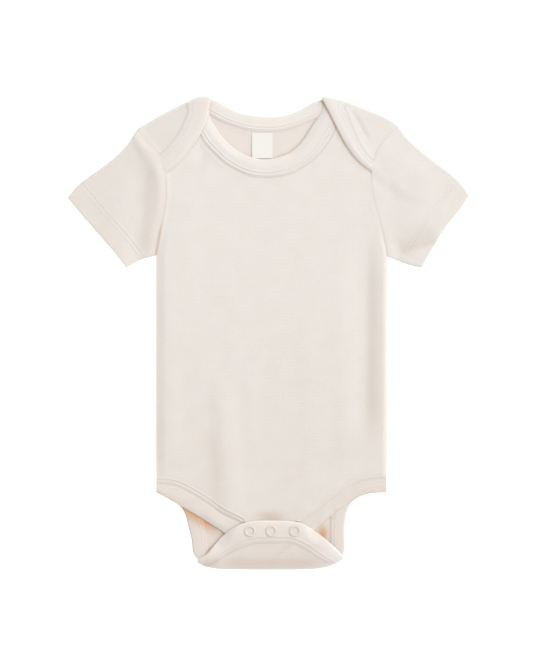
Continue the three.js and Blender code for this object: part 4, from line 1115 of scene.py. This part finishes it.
# Top of a cloth: its points moved along their upward normals by half the thickness and the relief.
def topOf(cover):
    normals = gridNormals(cover["points"])
    return cover["points"] + normals * (cover["half"] + cover["up"])[..., None], normals


# Where a line runs on a cloth: the mean of the four nearest points of its top, the nearer ones
# counting for more. The line ends where the cloth does.
def onCloth(line, cover):
    top, normals = topOf(cover)
    top, normals = top.reshape(-1, 3), normals.reshape(-1, 3)
    away = ((line[:, None, :2] - top[None, :, :2]) ** 2).sum(-1)
    best = np.argpartition(away, 4, axis=1)[:, :4]
    weight = 1 / (np.take_along_axis(away, best, 1) + 0.01)
    kept = away.min(axis=1) < threadLook["reach"] ** 2
    weight /= weight.sum(axis=1, keepdims=True)
    placed = line.copy()
    placed[:, 2] = (top[best][..., 2] * weight).sum(axis=1)
    return placed[kept], (normals[best] * weight[..., None]).sum(axis=1)[kept]


# Stitches in a row: along each one the thread's middle rises and dips with the fourth power of
# the way from its own middle, and its section is a circle square to it.
def stitchRow(line, normals):
    run = np.append(0, np.cumsum(np.linalg.norm(np.diff(line, axis=0), axis=1)))
    count = int(run[-1] / cloth["stitchPitch"])
    centre = (np.arange(count) + 0.5) * run[-1] / count
    half = threadLook["length"] / 2

    def along(values, at):
        return np.stack([np.interp(at, run, values[:, k]) for k in range(3)], axis=-1)

    up = along(normals, centre)
    up /= np.linalg.norm(up, axis=1, keepdims=True)
    flat = up[:, 2] > 0.5
    start, stop = along(line, centre - half)[flat], along(line, centre + half)[flat]
    up = up[flat][:, None, None]
    middle0 = ((start + stop) / 2)[:, None, None]
    ahead = ((stop - start) / 2)[:, None, None]
    sideways = np.cross(ahead, up)
    sideways /= np.linalg.norm(sideways, axis=-1, keepdims=True)
    t = np.linspace(-1, 1, threadLook["rings"])[None, :, None, None]
    turn = np.linspace(0, 2 * np.pi, threadLook["sides"], endpoint=False)[None, None, :, None]
    radius = threadLook["radius"] * (1 - 0.35 * t ** 4)
    lift = threadLook["radius"] * (threadLook["lift"] - 1.3 * t ** 4)
    return middle0 + ahead * t + up * (lift + radius * np.sin(turn)) + sideways * radius * np.cos(turn)


def stitching(name, rows):
    shapes = np.concatenate([stitchRow(*row) for row in rows])
    count, rings, sides = shapes.shape[:3]
    ids = np.arange(rings * sides).reshape(rings, sides)
    a, b = ids[:-1], np.roll(ids[:-1], -1, axis=1)
    c, d = np.roll(ids[1:], -1, axis=1), ids[1:]
    faces = [np.stack([a, b, c], -1).reshape(-1, 3), np.stack([a, c, d], -1).reshape(-1, 3)]
    fan = np.arange(1, sides - 1)
    faces.append(np.stack([0 * fan, fan + 1, fan], -1))
    faces.append(np.stack([0 * fan, fan, fan + 1], -1) + (rings - 1) * sides)
    one = np.concatenate(faces)
    triangles = (one[None] + (np.arange(count) * rings * sides)[:, None, None]).reshape(-1, 3)
    u = np.linspace(0, threadLook["length"], rings)[:, None] + np.zeros(sides)
    v = np.linspace(0, 1, sides)[None] * 2 * np.pi * threadLook["radius"] + np.zeros((rings, 1))
    uv = np.tile(np.stack([u, v], -1).reshape(-1, 2), (count, 1))
    piece = newMesh(name, shapes.reshape(-1, 3), triangles, uv)
    piece.data.materials.append(thread)
    print(f"{name}: {count} stitches, {len(triangles)} triangles")
    return piece


def bandRows(cover):
    top, normals = topOf(cover)
    return [(top[:, k], normals[:, k]) for k in bandShape["twinColumns"]]


def legRows():
    rows = []
    for side, line in zip((left, right), frontLegLines):
        for gap in threadLook["legRows"]:
            rows.append(onCloth(shifted(line, side["sign"] * gap), frontCloth))
    return rows


def hemRows(side, cover):
    depth, gap = sleeveLook["hemDepth"], sleeveLook["twinGap"] / 2
    hem = curve(side["hem"], shares(120))
    return [onCloth(shifted(hem, side["sign"] * away), cover) for away in (depth - gap, depth + gap)]


stitching("neckStitching", bandRows(neckBackCloth) + bandRows(neckFrontCloth))
stitching("legStitching", bandRows(legBackCloth) + legRows())
stitching("hemStitching", hemRows(left, sleeveLeftCloth) + hemRows(right, sleeveRightCloth))
print("stitching done")


# Small parts

labelLook = dict(left=-15.2, right=3.7, low=160.6, high=184.0, level=1.4, thickness=0.6,
                 ground="#eeece6", thread="#e4e2da")


def labelTape():
    x = np.linspace(labelLook["left"], labelLook["right"], 40)
    y = np.linspace(labelLook["low"], labelLook["high"], 50)
    points = np.zeros((50, 40, 3))
    points[..., 0] = x[None]
    points[..., 1] = y[:, None]
    lift = 0.3 * smooth((labelLook["high"] - points[..., 1]) / 20)
    points[..., 2] = labelLook["level"] + lift
    material, tree = newMaterial("polyesterTapeWoven")
    place = addNode(tree, "ShaderNodeTexCoord")
    weave = addNode(tree, "ShaderNodeTexWave", {
        "Vector": place.outputs["Object"], "Scale": 420.0, "Distortion": 0.4})
    tone = addNode(tree, "ShaderNodeMix", {
        "Factor": weave.outputs["Fac"], "A": hexColour(labelLook["ground"]),
        "B": hexColour(labelLook["thread"])}, data_type="RGBA")
    bump = addNode(tree, "ShaderNodeBump", {
        "Strength": 0.5, "Distance": 0.00008, "Height": weave.outputs["Fac"]})
    shader = addNode(tree, "ShaderNodeBsdfPrincipled", {
        "Base Color": tone.outputs["Result"], "Roughness": 0.6, "Sheen Weight": 0.1,
        "Normal": bump.outputs["Normal"]})
    addNode(tree, "ShaderNodeOutputMaterial", {"Surface": shader.outputs["BSDF"]})
    piece = clothShell("neckLabel", [grid(points, labelLook["thickness"] / 2)])
    piece.data.materials.append(material)
    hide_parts("label")
    return piece


label = labelTape()

snapLook = dict(outer=5.2, inner=3.2, height=0.5, sides=64, enamel="#ddd2c4")


# Enamel baked on stamped brass: smooth, with a soft gloss.
def enamelMaterial():
    material, tree = newMaterial("enamelledBrassSnap")
    place = addNode(tree, "ShaderNodeTexCoord")
    speck = addNode(tree, "ShaderNodeTexNoise", {
        "Vector": place.outputs["Object"], "Scale": 600.0, "Detail": 2.0})
    rough = addNode(tree, "ShaderNodeMapRange", {
        "Value": speck.outputs["Fac"], "To Min": 0.3, "To Max": 0.42})
    shader = addNode(tree, "ShaderNodeBsdfPrincipled", {
        "Base Color": hexColour(snapLook["enamel"]), "Roughness": rough.outputs["Result"],
        "Coat Weight": 0.2, "Coat Roughness": 0.2})
    addNode(tree, "ShaderNodeOutputMaterial", {"Surface": shader.outputs["BSDF"]})
    return material


enamel = enamelMaterial()


# Ring of a snap: its rounded section carried round a circle, angle by angle.
def snapRing(number):
    node = f"snap_ring_{number}"
    low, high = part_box(node)
    cx, cy = (low[0] + high[0]) * 500, (low[1] + high[1]) * 500
    base = low[2] * 1000
    middleRadius = (snapLook["outer"] + snapLook["inner"]) / 2
    reach = (snapLook["outer"] - snapLook["inner"]) / 2
    turn = np.linspace(0, 2 * np.pi, snapLook["sides"], endpoint=False)[:, None]
    around = np.linspace(0, 2 * np.pi, 20, endpoint=False)[None]
    radius = middleRadius + reach * np.cos(around)
    rise = snapLook["height"] / 2 * (1 + np.sign(np.sin(around)) * np.abs(np.sin(around)) ** 0.7)
    points = np.stack([cx + radius * np.cos(turn), cy + radius * np.sin(turn),
                       base + rise + 0 * turn], axis=-1)
    rows, columns = points.shape[:2]
    ids = np.arange(rows * columns).reshape(rows, columns)
    a, b = ids, np.roll(ids, -1, axis=1)
    c, d = np.roll(b, -1, axis=0), np.roll(ids, -1, axis=0)
    faces = np.concatenate([np.stack([a, d, c], -1).reshape(-1, 3), np.stack([a, c, b], -1).reshape(-1, 3)])
    piece = newMesh(f"snapRing{number}", points.reshape(-1, 3), faces)
    piece.data.materials.append(enamel)
    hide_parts(node)
    return piece


rings = [snapRing(number) for number in (1, 2, 3)]
for number in (1, 2, 3):
    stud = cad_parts[f"snap_stud_{number}"]
    stud.data.materials.clear()
    stud.data.materials.append(enamel)
print("small parts done")


# Camera, floor and light

studio = dict(
    viewWidth=490.36, viewX=-1.84, viewY=-0.23, cameraHeight=2400.0,
    floorSize=6.0, floor="#fbfbfa", floorGlow=0.45, world=0.62, key=(1.5, 1.05, 1.65), keySoftness=75.0, keyPower=2.3,
)


def studioScene():
    camera = bpy.data.cameras.new("camera")
    camera.sensor_fit = "HORIZONTAL"
    camera.sensor_width = 36.0
    camera.lens = 36.0 * (studio["cameraHeight"] - 4) / studio["viewWidth"]
    seat = bpy.data.objects.new("camera", camera)
    seat.location = (studio["viewX"] * 0.001, studio["viewY"] * 0.001, studio["cameraHeight"] * 0.001)
    bpy.context.scene.collection.objects.link(seat)
    bpy.context.scene.camera = seat

    half = studio["floorSize"] / 2
    mesh = bpy.data.meshes.new("floor")
    mesh.from_pydata([(-half, -half, 0), (half, -half, 0), (half, half, 0), (-half, half, 0)], [],
                     [(0, 1, 2, 3)])
    floor = bpy.data.objects.new("floor", mesh)
    floor.location.z = -0.0002
    bpy.context.scene.collection.objects.link(floor)
    material, tree = newMaterial("opalAcrylicLightTable")    # lit from below, so that no shadow stays
    shader = addNode(tree, "ShaderNodeBsdfPrincipled", {
        "Base Color": hexColour(studio["floor"]), "Roughness": 0.9, "Specular IOR Level": 0.1,
        "Emission Color": (1, 1, 1, 1), "Emission Strength": studio["floorGlow"]})
    addNode(tree, "ShaderNodeOutputMaterial", {"Surface": shader.outputs["BSDF"]})
    mesh.materials.append(material)

    world = bpy.data.worlds.new("studio")
    world.use_nodes = True
    world.node_tree.nodes["Background"].inputs["Color"].default_value = (1, 1, 1, 1)
    world.node_tree.nodes["Background"].inputs["Strength"].default_value = studio["world"]
    bpy.context.scene.world = world

    key = bpy.data.lights.new("key", "SUN")
    key.angle = np.radians(studio["keySoftness"])
    key.energy = studio["keyPower"]
    lamp = bpy.data.objects.new("key", key)
    lamp.location = studio["key"]
    direction = -lamp.location
    lamp.rotation_euler = direction.to_track_quat("-Z", "Y").to_euler()
    bpy.context.scene.collection.objects.link(lamp)
    bpy.context.scene.view_settings.view_transform = "Standard"
    bpy.context.scene.view_settings.look = "None"


studioScene()

print("scene done")
